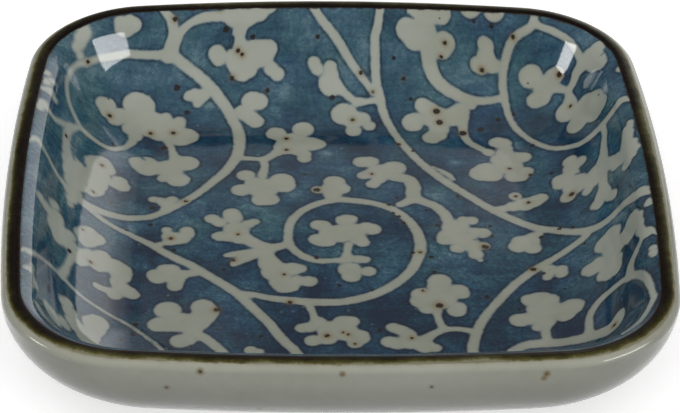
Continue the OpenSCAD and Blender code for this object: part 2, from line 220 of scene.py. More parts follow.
# A blossom is a set of round lobes (u, v, radius).
BLOSSOMS = [
    [(-10.8, 13.9, 2.6), (-13.4, 17.3, 1.5), (-7.9, 15.9, 2), (-7.6, 14.6, 1.9), (-14.1, 13.3, 1.6), (-11, 10.7, 1.6), (-9.8, 10.8, 1.6), (-12, 15.2, 1.6)],
    [(4.5, 21.09, 1.5), (5.7, 21.19, 1.5), (9.4, 19.39, 1.95), (7.25, 18.25, 2.2), (4.65, 17.4, 1.1), (5.6, 17.9, 1.2), (6, 15, 1.15), (6.9, 16.3, 1.2)],
    [(.1, 15.5, 1.75), (1.1, 13.75, 1.5), (-2.5, 13.4, 1), (-.25, 12, 1.4), (-.2, 13.6, 1.9)],
    [(1.4, 5.3, 1.4), (2.3, 5.5, 1.2), (5.5, 2.9, 1.45), (4.6, 3.4, 1.4), (4, -.6, 1.1), (3.4, .3, 1.4), (-2, -.3, 1.3), (-2.75, .25, 1.4), (-1.2, -.2, 1.4), (-2.5, 4, 1.3), (-1.7, 3.9, 1.2), (.75, 1.75, 2.3), (-.6, 1.8, 2), (2.4, 2.2, 2.2)],
    [(1.75, -4.6, 1.1), (4.1, -4.9, .95), (3.2, -4.8, 1), (1.9, -7.4, 1.8), (2.1, -9.1, 1.5), (4.6, -7.9, 1.25)],
    [(-18.4, 5.6, 1.2), (-17.3, 4.6, 1.2), (-15.5, 7, 1.4), (-15.2, 5.8, 1.5), (-12.1, 4.75, .9), (-13, 4.2, 1.1), (-14.75, 2.75, 2), (-17.25, 1, 1.2), (-16, 1, 1.4), (-14.2, .6, 1.6)],
    [(-9.8, -6, 1.7), (-8.75, -8, 2.4), (-6.5, -7.3, 1.6), (-5.25, -7.25, 1), (-4.1, -10.4, 1.35), (-5.8, -10.2, 1.3), (-7.75, -11.75, 1.55), (-8.2, -10.5, 1.8), (-6.9, -11.6, 1.5)],
    [(.6, -20.3, 1.5), (1.7, -20.2, 1.35), (-2.75, -20.25, 1.1), (-5.25, -21.75, 1.1), (-4.2, -21.6, 1.2), (-3.75, -24.75, 1.3), (-1.7, -24.2, 1.5), (2.25, -25.25, 1.25), (3.25, -24.25, 1.2), (3.2, -23.3, 1.1), (-1, -22.3, 2.2), (1, -22.8, 2)],
    [(7.75, -21.6, 1.15), (8.8, -22.2, 1.2), (9.8, -23.1, 1.2), (7.1, -25, 1.35), (8.2, -25.4, 1.4), (10, -24.9, 1.8), (12, -26, 1.6), (13.5, -26.4, 1)],
    [(14.9, -10.3, 1.8), (14.8, -11.5, 1.8), (17.6, -12.6, 1.5), (18, -13.5, 1.2), (17, -17.6, 1.45), (17.3, -16.6, 1.2), (12.2, -13.7, 1.7), (12, -15.2, 1.7), (12.75, -17, 1.3), (14.8, -14.4, 2.6)],
    [(20.5, 5.25, 1.1), (19.25, 5.5, .9), (18, 3.25, 2.2), (17, 1, 2), (22, 2, 1.3), (20.8, 2.2, 1.2), (16, -0, 1.05), (18, -2, 1.2), (20.6, -3.6, 1.2), (21.2, -5, .5), (22, -1.25, .95), (19.3, .2, 1.9), (20.3, -1.6, 1.5)],
    [(27.5, 11.8, 1.05), (31.27, 10.7, 1.29), (30.28, 10.15, 1.48), (28.8, 9.57, 1.69), (27, 9, 1.3), (25.4, 8.4, .95), (24.3, 8.2, .8)],
    [(26.9, -1.6, 1.45), (29.1, -1.94, 1.44), (27.6, -.3, 1.6), (28.8, -.12, 1.6), (29.39, 1.03, 1.09), (30.28, 1.68, .74)],
    [(22.9, 18, 2.1), (23.6, 19.2, 1.8), (24.3, 17.6, 1.8), (27.6, 17.1, 1.4), (28.6, 17.16, 1.39), (29.58, 18.42, 1.28), (29.58, 22.34, 1.31), (28.39, 22.51, 1.37), (27, 20.24, 2.4), (26.2, 21.79, 1.9), (24.25, 23.74, .9), (25.79, 26.58, 1.44), (26.69, 26.33, 1.33), (26.99, 24.91, 1.07), (26.8, 23.67, 1.48)],
    [(36.69, 17.82, 1.33), (38.44, 16.39, 1.25), (36.84, 16.04, 1.64), (34.59, 14.21, 1.31), (34.59, 13.02, 1.31), (35.52, 9.1, 1.42), (38.8, 8.02, 1.04), (37.09, 11.23, 2.37), (36.26, 13.69, 1.94), (40.21, 9.63, 1.69), (39.35, 10.38, 1.69), (41.6, 10.51, 1.61), (40.73, 11.25, 1.61), (42.91, 11.2, 1.14), (42.25, 11.76, 1.14)],
    [(40.35, 2.83, 1.07), (39.75, 3.38, 1.07), (43.52, 1.74, 1.07), (42.78, 2.41, 1.07), (41.98, 3.78, 1.4), (41.13, 4.53, 1.4)],
    [(44.4, 9.66, 1.36), (43.52, 10.4, 1.36), (45.54, 8.55, 1.78), (47.32, 7.81, 1.75), (47.82, 9.41, 1.05), (48.05, 10.11, 1.05), (48.28, 10.8, 1.05), (48.78, 13.59, .73), (48.58, 12.85, .73), (48.38, 12.11, .73), (48.17, 11.38, .73), (49.45, 12.18, .62), (49.28, 11.29, .62), (49.12, 10.39, .62), (48.95, 9.5, .62), (49.7, 14.96, .62), (49.61, 14.23, .62), (49.52, 13.5, .62), (49.43, 12.77, .62), (49.34, 12.05, .62), (49.13, 8.57, .79), (48.87, 7.6, .79), (48.6, 6.63, .79), (48.34, 5.66, .79), (49.69, 9.24, .79), (49.54, 8.34, .79), (49.38, 7.43, .79), (49.22, 6.52, .79), (49.07, 5.62, .79), (47.61, 4.91, 1.26)],
    [(42.55, -7.52, 1.46), (41.49, -6.49, 1.46), (41.28, -8.53, 1.83), (40.07, -7.34, 1.83), (46.47, -10, 1.97), (47.54, -12.04, 1.28), (47.86, -11.22, 1.28), (48.21, -13.12, .83), (47.95, -13.73, .83), (47.69, -14.33, .83), (43.04, -11.2, 2), (41.49, -9.65, 2), (45.68, -12.28, 1.88), (44.48, -11.05, 1.88), (37.66, -11.84, 1.32), (36.95, -11.09, 1.32), (39.22, -11.79, 1.37), (38.4, -10.95, 1.37), (40.16, -15.57, 1.36), (39.24, -14.62, 1.36), (41.59, -15.9, 1.44), (40.49, -14.76, 1.44), (42.01, -14.38, 1.36), (40.96, -13.31, 1.36), (40.92, -13.55, 1.64), (39.79, -12.4, 1.64)],
    [(27.8, -15, 1.5), (29.29, -14.9, 1.89), (30.57, -15.35, 1.5), (33.92, -18.63, 1.59), (33.22, -17.82, 1.59), (32.56, -19.56, 1.62), (34.44, -18.29, 1.09), (33.94, -17.72, 1.09), (30.18, -17.99, 2.4), (28.79, -17.25, 1.8), (25.9, -19.8, 1.6), (27.4, -19.4, 1.5), (28.3, -21.64, .91), (29.48, -20.37, 1.6)],
    [(31.17, -7.75, 1.1), (32.76, -8.48, 1.16), (32.86, -9.52, 1.01), (30.67, -9.63, .8), (30.97, -8.8, .9), (30.48, -7.07, .8)],
    [(-12.5, -27, 1), (-11.3, -27.4, .8)],
    # back wall
    [(2.07, 33.3, 2.19), (5.88, 30.93, 1.12), (4.88, 32.43, 1.39), (3.4, 29.71, 1.34), (3.48, 32.26, 1.84)],
    [(-2.87, 42.06, 1.09), (-2.26, 41.09, 1.09), (-.15, 41.38, 1.14), (-.44, 38.88, 1.66), (-.04, 38.12, 1.56), (-.04, 40.03, 1.28)],
    [(-4.5, 30.04, 1.78), (-8.7, 28.91, 1.67), (-2.2, 26.07, 1.3), (-3.3, 26.17, 1.89), (-4.4, 21.99, 1.15), (-4.4, 23.18, 1.2), (-6, 26.47, 2.69), (-7.2, 25.27, 1.99), (-5.5, 24.78, 1.8)],
    [(-14.04, 33.62, 1.41), (-12.66, 35.61, 1.72), (-11.56, 35.61, 1.53), (-12.01, 31.82, 1.42), (-12.92, 32.75, 1.4)],
    [(-19.4, 43.35, 1.34), (-18.69, 42.66, 1.39), (-15.16, 42.66, 2.58), (-13.15, 43.24, 2.38), (-11.63, 43.44, 2.19), (-10.52, 44.22, 1.39), (-15.15, 40.81, 1.48), (-14.54, 40.32, 1.43), (-13.64, 41, 1.58), (-8.8, 40.22, 1.18), (-9.91, 41.09, 1.19)],
    [(-17.05, 49.39, 2.2), (-15.1, 49.69, 2.37), (-13.06, 50.47, 2.17), (-11.11, 51.26, 1.58)],
    [(13.33, 47.18, 2), (14.32, 45.77, 1.96), (15.95, 46.81, 2.5), (17.06, 44.91, 2.17), (19.57, 45.11, 1.82), (18.89, 44.04, 1.59), (15.12, 50.48, 1.68), (17.06, 49.6, 2.18), (19.5, 49.61, 1.87)],
    [(12.68, 31.9, 1.61), (12.78, 31.23, 1.59), (13.48, 32.23, 1.39), (14.59, 34.97, 1.38), (15.58, 34.15, 1.51), (16.72, 32.43, 2.32), (15.6, 27.96, 1.58), (16.5, 28.79, 1.61), (16.88, 30.14, 1.61), (19.18, 32.72, 1.87), (20.79, 34.31, 1.14), (22.21, 35.03, .96)],
    [(24.87, 50.55, 1.87), (26.93, 51.56, 1.66), (29.05, 49.89, 1.93)],
    [(26.52, 44.54, 1.43), (24.43, 41.5, 1.34), (24.83, 41.21, 1.29), (26.16, 42.68, 1.59), (26.55, 41.41, 1.39), (27.46, 41.22, 1.09)],
    [(32.69, 38.83, 2.02), (33.32, 39.4, 1.62), (37.51, 38.11, 1.44), (36.68, 37.85, 1.64), (32.8, 34.59, 1.59), (33.94, 34.81, 1.61), (34.8, 36.64, 2.03)],
    [(37.7, 30.36, 2.03), (37.49, 29.98, 1.87), (38.57, 31.78, 1.36), (39.08, 26.11, 2.1), (42.98, 25.8, 2.26), (44.23, 26.34, 2.11), (40.95, 28.26, 2.94), (42.06, 28.87, 2.3), (43.54, 28.57, 2.06), (41.48, 29.97, 1.69)],
    [(43.34, 37.9, 1.5), (45.31, 36.58, 1.93), (44.97, 38.07, 1.93), (46.56, 37.51, .89), (46.4, 38.54, .89), (46.23, 39.57, .89), (47.13, 39.54, 1.2), (46.54, 35.09, 1.1), (46.45, 35.94, 1.1), (46.36, 36.8, 1.1), (47.26, 35.24, .58), (47.21, 36.03, .58), (47.17, 36.82, .58)],
    [(49.84, 31.19, .98), (50.44, 30.04, .79)],
    [(50.61, -8.9, .75), (50.33, -9.31, .75), (50.04, -9.73, .75)],
    # left loop
    [(-30.94, 33.82, 2.46), (-30.32, 33.67, 2.45), (-36.72, 32.16, 1.44), (-35.67, 32.47, 1.32), (-35.64, 31.09, 1.63), (-34.35, 29.68, 1.31), (-26.04, 32.25, .95), (-23.91, 31.45, 1.12), (-24.21, 30.67, 1.2), (-22.7, 28.1, 2), (-23.6, 27.52, 2.02), (-24.5, 28.72, 1.85), (-28.02, 30.16, 2.85), (-26, 29.88, 2.33), (-30.57, 30.85, 2.43), (-27, 28.32, 1.68), (-31.24, 28.46, 1.75), (-30.72, 27.15, 1.26), (-33.34, 30.96, 1.59)],
    [(-29.3, 20.15, 1.99), (-28.3, 19.27, 2.19), (-30.3, 20.62, 1.19), (-28.5, 20.94, 1.29), (-22.5, 20.59, 2), (-23.6, 20.59, 2), (-23.7, 16, 1.85), (-26, 16.4, 1), (-25.5, 19.3, 2.1), (-24.8, 17.8, 1.8)],
    [(-22.71, 36.33, .97), (-21.92, 36.7, .97), (-21.1, 36.24, 1.26), (-21.28, 35.13, .86), (-20.31, 36.61, 1.07)],
    [(-37.3, 47.13, 1.28), (-37.03, 46.2, 1.36), (-36.39, 46.82, 1.36), (-35.74, 47.44, 1.36), (-35.75, 46.13, 1.32), (-34.79, 46.99, 1.32)],
    [(-44, 41.93, 1.35), (-43.73, 42.81, 1.35), (-43.47, 43.69, 1.35), (-44.4, 39.85, 1.14), (-44.16, 40.56, 1.14), (-43.92, 41.27, 1.14), (-43.41, 38.79, .99), (-43.73, 44.89, .98)],
    [(-27.4, 10.7, .8), (-26.4, 10.4, .9), (-24.5, 10.7, .95), (-25.2, 9.6, 1.3), (-25.3, 8.2, .9)],
    [(-25.1, 2.6, .85), (-22.1, 2.4, 1.1), (-21.9, 1.5, 1.1), (-23.6, .4, 1.6), (-24.7, 1, 1.2), (-22.8, .4, 1.4), (-24.7, -.5, 1), (-26, -1.2, .7)],
    [(-26.3, -8.9, 1.5), (-26, -9.7, 1.4), (-25, -7.5, 1.35), (-24, -7.5, 1.2), (-23.5, -11.7, 1.2), (-23.4, -10.3, 1.4), (-24, -9, 1.7), (-22.5, -8.8, 1.2), (-21.3, -8.4, .9), (-20.4, -8.3, .8)],
    [(-24.4, -17.5, 2.05), (-19.4, -16.7, 1.8), (-18.9, -18, 1.9), (-19.5, -19.3, 2), (-20.2, -20.5, 2), (-25.5, -21, 1.75), (-24, -21, 1.8), (-22.6, -20.4, 2.3), (-22, -21.2, 1.8), (-22.4, -24.9, 1.6), (-21.3, -24.4, 1.4)],
    [(-49.3, 29.6, .9), (-49.2, 27, 1.1), (-48.2, 28, .9), (-48.4, 24.8, 1.1), (-47.1, 23.8, .9), (-49.5, 24.6, .7)],
    # left cove and wall
    [(-34.37, -5.91, 1.28), (-34.99, -6.56, 1.28), (-36.28, -7.17, 1.46), (-37.12, -8, 1.46), (-37.36, -9.06, 1.36), (-38.23, -9.92, 1.36), (-32.51, -7.62, 1.82), (-31.6, -8.57, 1.92), (-31.4, -9.82, 1.61), (-30.2, -13.45, 1.41), (-29.5, -14.02, 1.1), (-31.2, -12.69, 1.51), (-31.8, -11.45, 1.31), (-32.21, -14.7, 1.22), (-34.18, -7.8, 1.65), (-34.98, -8.64, 1.65)],
    [(-47.56, -5.34, 1.21), (-43.52, -1.72, .99), (-44.05, -2.21, .99), (-44.58, -2.71, .99), (-42.88, -3.98, 1.52), (-43.69, -4.76, 1.52), (-44.5, -5.54, 1.52), (-42.11, -6.17, 1.7), (-42.97, -7.01, 1.7), (-43.83, -7.86, 1.7), (-41.3, -7.74, 1.52), (-42.01, -8.43, 1.52), (-42.73, -9.13, 1.52), (-39.65, -7.46, 1.27), (-40.63, -8.4, 1.27), (-40.09, -5.58, 1.27), (-41.09, -6.53, 1.27), (-38.91, -8.89, .91), (-39.56, -9.53, .91), (-45.71, -5.21, 1.06), (-46.3, -5.8, 1.06)],
    [(-36.63, -1.45, 1.38), (-37.4, -2.19, 1.38), (-35.38, -2.18, 1.38), (-36.08, -2.87, 1.38), (-36.63, -3.56, 1.37), (-37.41, -4.32, 1.37), (-37.5, -2.55, 1.28), (-38.28, -3.28, 1.28)],
    [(-41.95, 15.16, 1.13), (-42.75, 14.52, 1.13), (-40.95, 13.55, 1.69), (-42.09, 12.62, 1.69), (-39.68, 11.5, 2.15), (-41.04, 10.36, 2.15), (-39.18, 13.07, 1.68), (-40.18, 12.24, 1.68), (-39.53, 8.99, 1.86), (-40.72, 7.97, 1.86), (-39.85, 6.3, 1.48), (-40.84, 5.44, 1.48), (-40.11, 4.11, 1.01), (-40.81, 3.49, 1.01), (-40.38, 2.41, .55), (-40.77, 2.06, .55)],
    [(-35.54, 17.69, 1.74), (-36.83, 16.76, 1.76), (-34.91, 16.67, 1.63), (-37.91, 16.17, 1.26), (-36.17, 14.15, 2.27), (-36.38, 12.1, 2.07), (-36.38, 10.41, 1.65), (-36.53, 9.44, 1.11), (-37.09, 8.93, 1.11), (-32.62, 14.49, 1.31), (-32.21, 13.22, 1.36), (-33.34, 13.32, 1.01)],
    [(-39.41, -22.59, 1.06), (-39.91, -23.13, 1.06), (-40.4, -23.67, 1.06), (-38.64, -24.02, 1.06), (-39.11, -24.53, 1.06), (-39.58, -25.04, 1.06), (-38, -25.61, 1.06), (-38.9, -26.6, 1.06), (-36.92, -26.37, 1.19), (-37.75, -27.36, 1.19), (-36.57, -28.71, 1.19), (-35.98, -27.67, 1.19), (-34.24, -22.7, 1.72), (-35.2, -23.76, 1.72), (-34.35, -24.32, 1.4), (-34.9, -25.43, 1.5), (-34.95, -26.93, 1.3), (-35.4, -28.3, 1.4)],
    [(-47.69, -26.93, .28), (-47.82, -26.55, .28), (-47.96, -26.17, .28), (-48.09, -25.8, .28), (-47.5, -29.59, .56), (-47.71, -28.97, .56), (-47.91, -28.36, .56), (-48.11, -27.74, .56), (-48.32, -27.12, .56), (-47.92, -31.31, .66), (-48.14, -30.37, .66), (-48.35, -29.44, .66), (-48.56, -28.51, .66), (-48.77, -27.57, .66), (-48.25, -32.67, .66), (-48.38, -31.87, .66), (-48.51, -31.07, .66), (-48.64, -30.27, .66), (-48.77, -29.47, .66), (-48.9, -28.66, .66), (-48.41, -33.43, .56), (-48.49, -32.74, .56), (-48.58, -32.05, .56), (-48.67, -31.36, .56), (-48.75, -30.67, .56), (-48.84, -29.98, .56), (-46.9, -30.44, .71), (-47.21, -29.75, .71)],
    [(-44.87, -39.47, 1.55), (-44.67, -38.32, 1.55), (-44.47, -37.18, 1.55), (-43.08, -45.08, 1.07), (-43.29, -44.01, 1.07), (-43.49, -42.94, 1.07), (-43.7, -41.88, 1.07), (-39.98, -28.91, 1.36), (-44.77, -44.05, .75), (-45.03, -43.16, .75), (-45.3, -42.27, .75), (-45.56, -41.38, .75), (-45.83, -40.49, .75), (-46.09, -39.6, .75), (-41.99, -30.39, 1.69), (-43.29, -30.98, 1.69)],
]


def bloom(u, v, turn, size=1.0):
    """A five-lobed blossom for the wall that the front lip hides."""
    lobes = [(u, v, 2.3 * size), (u, v + .6 * size, 2 * size)]
    for a, far, r in ((0, 3.2, 1.55), (68, 2.9, 1.4), (140, 3.3, 1.6), (212, 3.0, 1.35), (287, 3.1, 1.5)):
        a = math.radians(a + turn)
        lobes.append((u + far * size * math.cos(a), v + far * size * math.sin(a), r * size))
        lobes.append((u + .6 * far * size * math.cos(a), v + .6 * far * size * math.sin(a), r * size))
    return lobes


BLOSSOMS += [[(49.5, -22, .75), (49.35, -23.2, .85), (49.3, -24, .6)], [(46, 8, .45), (47.5, 7.1, .75), (49, 6.6, 1.05), (49.9, 7.2, .8)]]
BLOSSOMS += [bloom(6.23, -34.35, 20), bloom(-11.03, -33.09, 75, .95), bloom(2.7, -49.38, 40, .95), bloom(12.36, -48.81, 110, .9), bloom(-24.09, -49.18, 15, .95), bloom(-36.53, -37.45, 50), bloom(31.16, -37.47, 85, 1.05), bloom(-45.58, -39.29, 100, .95), bloom(24.66, -49.12, 60, .9), bloom(-17.54, -47.13, 10, .8), bloom(-2.4, -30.41, 0, .6), bloom(14.62, -31.43, 55, .7)]

# Blue strokes that cut into the pale shapes.
CUTS = [
    [(20.6, .25, .12), (23.6, .2, .24)],
    [(37.31, 13.82, .2), (39.46, 13.07, .3), (41.46, 13.84, .4)],
    [(18.97, 47.27, .35), (21.42, 47.36, .5)],
    [(13.56, 49.47, .4), (14.65, 48.96, .18)],
    [(24.2, 25.38, .5), (25, 25.18, .4)],
    [(-34.12, 28.35, .28), (-32.04, 26.95, .32)],
    [(-17.22, 45.58, .6), (-17.07, 44.23, .42)],
    [(46.81, 37.08, .12), (48.09, 37.63, .3)],
    [(-7.4, -3.5, .62), (-7.1, -3.3, .5)],
    [(4.69, 30.85, .1), (5.29, 29.71, .3)],
    [(-26.8, -23, .34), (-22.4, -22.9, .26)],
    [(-41.3, 16.29, .5), (-40.83, 14.42, .28)],
    [(-39.25, 16.49, .42), (-38.79, 14.52, .24)],
    [(-29.6, 22.05, .22), (-28.9, 21.29, .12)],
    [(.36, 36.54, .35), (1.07, 36.17, .2)],
]

# Iron specks: u, v, radius, strength of the amber halo.
SPECKS = [
    (-2.6, 13.4, .5, .8), (-7.1, 24.48, .3, .8), (5.9, 17.8, .25, .6), (8.2, 9.4, .3, .3), (8.8, 7.2, .3, .2), (9.6, 6.3, .28, .2), (10.3, 4.6, .3, .3), (-14.5, 1.5, .25, .7), (-2.9, -4.5, .36, .3), (11.3, -3.1, .34, .2), (12.4, -3, .22, .9), (-7.7, -8.7, .25, .6), (9.5, 11.4, .28, .2), (13.8, 8, .26, .1), (-4.4, 17.6, .28, .2), (-15.1, -5.2, .26, 1), (-16.5, -7.5, .3, .1), (.3, -11.4, .34, .1), (-6.9, -15.6, .34, 1), (-1.7, -23.6, .36, 1), (.6, -22.8, .2, .6), (1.3, -23.3, .24, .6), (2.2, -25.5, .22, .6), (5.8, -22.3, .36, .1), (10.3, -24.1, .26, .7), (-17.4, -17.4, .42, 1), (12.4, -12.7, .25, .6), (14.6, -16.3, .52, 1), (14, -4.2, .36, .1), (14.2, -8, .36, .2), (-11.1, -23.8, .3, .1), (22.1, -1.6, .52, 1), (23.2, 3.8, .32, .2), (23.3, 1.2, .34, .2), (15.3, 4, .38, .2), (30.58, .62, .34, .1), (33.47, 1.86, .34, .3), (35.51, 1, .28, .3), (36.98, -4.36, .26, .1), (28.8, -7.32, .42, 1), (30.18, -8.51, .3, .3), (21.6, -14.2, .42, .2), (26, -17.2, .3, .1), (39.68, -28.85, .34, 1), (27.2, 19.4, .3, .7), (30.28, 17.38, .32, .5), (27.6, 11.8, .3, .7), (29.39, 10.01, .3, .7), (36.14, 9.33, .42, 1), (33.47, 16.66, .34, .1), (18.8, 11.7, .34, .3), (31.16, 25.04, .36, .2), (25, 25.08, .32, .1), (12.5, 24.28, .3, .1), (10.4, 26.17, .34, .4), (16.68, 33.88, .5, .8), (17.02, 31.7, .52, .8), (20.54, 29.21, .55, .8), (23.37, 30.04, .5, .1), (26.28, 31.97, .42, .1),
    (10.53, 42.85, .3, .1), (12.69, 36.16, .32, .1), (11.82, 39.55, .36, .5), (3.33, 32.26, .28, .9), (-7.1, 27.66, .32, .9), (-2.35, 46.15, .36, .4), (-13.59, 45.96, .42, .1), (-10.28, 37.56, .36, .6), (.16, 36.44, .42, .1), (4.89, 40.51, .32, .7), (6.68, 37.37, .22, .7), (24.93, 40.63, .36, 1), (37.93, 37.89, .46, 1.2), (38.45, 31.07, .26, .8), (31.69, 45.61, .34, 1), (25.35, 48.24, .34, .1), (28.33, 47.44, .4, .1), (19.57, 45.01, .32, .8), (18.49, 42.86, .26, .7), (28.9, 32.65, .3, .2), (44.62, 28.67, .22, .1), (-15.77, 43.74, .34, .9), (-14.96, 43.15, .28, .9), (-35.2, 30.25, .36, .9), (-28.3, 28.35, .32, .9), (-24.8, 28.86, .34, .9), (-24.86, 37.64, .5, .3), (-22.84, 33.41, .42, .1), (-26.1, 24.86, .5, .3), (-16.14, 39.45, .36, .9), (-18.47, 46.99, .5, .1), (-19.88, 50.51, .4, .9), (-27.74, 48.35, .4, .9), (-41.47, 38.55, .34, .9), (-43.08, 18.16, .36, .6), (-34.09, 23.7, .34, .1), (-35.65, 17.07, .3, .9), (-36.7, 9.22, .26, .8), (-22.4, 10.2, .3, .8), (-33.75, 8.14, .26, .2), (-27.3, 8.4, .5, .1), (-24.4, .4, .32, 1), (-31, 2.21, .26, .2), (-27.6, 3.9, .36, .1), (-37.89, -1.8, .26, .4), (-23.9, -2.7, .36, .1), (-36.17, -8.83, .32, .8), (-39.92, -9.49, .42, .3), (-28.8, -21.08, .36, .5), (-29.2, -23.53, .34, .3), (-30.81, -25.44, .3, .5), (-43.2, -24.12, .4, .2), (-17.2, -22, .24, .1), (5, -12.6, .22, .1), (40.77, -24.88, .24, .1), (47.48, -1.44, .26, .2), (32.96, -13.38, .24, .1), (8.92, -33.09, .35, .8), (-9.28, -42.27, .35, .6), (21.12, -46.45, .36, .7),
    (-30.54, -37.67, .34, .6), (35.7, -43.05, .34, .5),
]

# Where the wash is thinner (above 0) or fuller (below 0): u, v, radius, amount.
WASH = [
    (-20.5, -1.5, 3, .6), (-22, 4, 2.6, .3), (-4, 14.5, 1.6, .45), (-6.3, 12, 1.4, .8), (-1, 23.38, 1, 1.1), (8.7, 26.47, .8, .7), (16, 12.6, 2.6, .5), (-7.46, 37.28, 1.4, .6), (-8.64, 34.44, 1.3, .35), (-19.47, 34.86, 1, .8), (6, 44.41, 1.4, .4), (4.95, 47.63, 1.4, .3), (18.8, 20.99, 1.1, .7), (-16.5, -14.6, 2.2, .5), (-12.8, -16.4, 2.6, .4), (-21, -13, 3, .3), (7.2, -8.6, 1.6, .5), (6, -11.6, 2, .35), (20.4, -11, 2.2, .4), (24.4, -21.4, 2, .3), (32.56, -12.06, 2, .4), (32.97, 19.95, 2, .3), (45.52, 30.71, 1.8, .5), (28.58, 25.65, 1, .7), (14.4, 25.57, 2, .25), (-26.6, 12.8, 2, .25), (-34.38, 41.36, 3, .15), (-27.23, 39.95, 3, .35), (-42.77, 34.08, 1.8, .4), (-39.97, 37.39, 1.2, .5), (5.5, 28.73, 2.4, .25), (24, -9, 2.6, .2), (10.6, -20.4, 2.4, .25), (-14, -20, 3, .15), (2, 19, 2, .25), (46.78, 24.15, 2.4, .2), (35, -5.29, 2.4, .2), (17, -5, 2, .25), (-29.23, 49.2, 2.4, .3), (30.82, 48.39, 2, .5),
    (1.96, 49.84, 8, .3), (-23.39, 50.14, 3, .3), (-28.5, -3.01, 3, -.8), (-27.2, .8, 2, -.8), (-25, -13.6, 3, -.55), (-28.3, -10, 2, -.6), (-28.6, 25.65, 1.5, -1), (-26.3, 23.59, 1.3, -1), (2.6, 26.57, 2.6, -.6), (4.4, 24.18, 2.2, -.5), (-19, 28.87, 4, -.3), (41.47, 34.16, 1.8, -.4), (39.37, 36.67, 1.2, -.6), (38.18, 19.7, 4, -.45), (29.97, 23.95, 2, -.4), (25.97, 29.45, 3, -.4), (33.38, -23.88, 2.4, -.9), (8, -18, 4, -.6), (30.38, -11.27, 1.8, -.5), (9, 1, 2.6, -.4), (-5, 1, 1.6, -.5), (-12.4, 26.37, 2.6, -.3), (-15.71, 38.21, 2.6, -.3), (42.29, -26.53, 3, -.4), (33.01, 28.73, 3, -.4), (22.6, 24.38, 2, -.35), (-3.8, -12.6, 2.4, -.4), (-46.41, 13.09, 3, -.5), (-45.39, .75, 2.6, -.4), (-44.83, -16.03, 3, -.4), (20, -6.6, 2, -.3), (45.32, 13.78, 3, -.4), (14.02, 38.6, 3, -.15), (25, 12.6, 3, -.3), (-5.6, 19.99, 2.4, -.35), (32.96, 6.08, 3, -.35), (-20.6, 44.24, 2.4, -.3), (-3.04, 34.89, 3, -.25),
]


def smooth_run(points, step=0.18):
    """The run as close round dabs: a Catmull-Rom curve through the points."""
    p = np.array(points, float)
    if len(p) == 2:
        n = max(2, int(np.hypot(*(p[1] - p[0])[:2]) / step) + 1)
        t = np.linspace(0, 1, n)[:, None]
        return p[0] * (1 - t) + p[1] * t
    e = np.concatenate([[2 * p[0] - p[1]], p, [2 * p[-1] - p[-2]]])
    out = []
    for a, b, c, d in zip(e[:-3], e[1:-2], e[2:-1], e[3:]):
        n = max(2, int(np.hypot(*(c - b)[:2]) / step) + 1)
        t = np.linspace(0, 1, n, endpoint=False)[:, None]
        out.append(.5 * (2 * b + (c - a) * t + (2 * a - 5 * b + 4 * c - d) * t ** 2 + (3 * b - a - 3 * c + d) * t ** 3))
    out.append(p[-1:])
    return np.concatenate(out)


def near(uv, dabs, margin):
    lo = (dabs[:, :2] - dabs[:, 2:]).min(0) - margin
    hi = (dabs[:, :2] + dabs[:, 2:]).max(0) + margin
    return np.nonzero(((uv >= lo) & (uv <= hi)).all(1))[0]


def to_dabs(uv, dabs, soft=0.0):
    """Signed distance from each point to the union of the dabs, with soft joints if asked."""
    out = np.empty(len(uv))
    for k in range(0, len(uv), 4000):
        d = np.hypot(uv[k:k + 4000, None, 0] - dabs[None, :, 0], uv[k:k + 4000, None, 1] - dabs[None, :, 1]) - dabs[None, :, 2]
        m = d.min(1)
        out[k:k + 4000] = m if soft == 0 else m - soft * np.log(np.exp(-(d - m[:, None]) / soft).sum(1)) + soft * .6
    return out


def meld(a, b, k):
    h = np.maximum(k - np.abs(a - b), 0) / k
    return np.minimum(a, b) - h * h * k / 4


def painting(uv):
    far = 4.0
    d = np.full(len(uv), far)
    for run in VINES:
        dabs = smooth_run(run)
        at = near(uv, dabs, far)
        d[at] = meld(d[at], to_dabs(uv[at], dabs), .45)
    for lobes in BLOSSOMS:
        dabs = np.array(lobes, float)
        at = near(uv, dabs, far)
        d[at] = meld(d[at], to_dabs(uv[at], dabs, .16), .45)
    for run in CUTS:
        dabs = smooth_run(run)
        at = near(uv, dabs, 2.0)
        d[at] = np.maximum(d[at], -to_dabs(uv[at], dabs))
    return d


def specks(uv):
    """Distance past the edge of the nearest speck, and the amber halo around it."""
    edge, halo = np.full(len(uv), 3.0), np.zeros(len(uv))
    for u, v, r, glow in SPECKS:
        at = np.nonzero((np.abs(uv[:, 0] - u) < 3) & (np.abs(uv[:, 1] - v) < 3))[0]
        far = np.hypot(uv[at, 0] - u, uv[at, 1] - v)
        edge[at] = np.minimum(edge[at], far - r)
        halo[at] = np.maximum(halo[at], glow * np.exp(-(far / (r + .32)) ** 2))
    return edge, halo


def washes(uv):
    w = np.zeros(len(uv))
    for u, v, r, amount in WASH:
        far = np.hypot(uv[:, 0] - u, uv[:, 1] - v) / r
        w += amount * np.exp(-far ** 2)
    return np.clip(w, -1.2, 1.2)


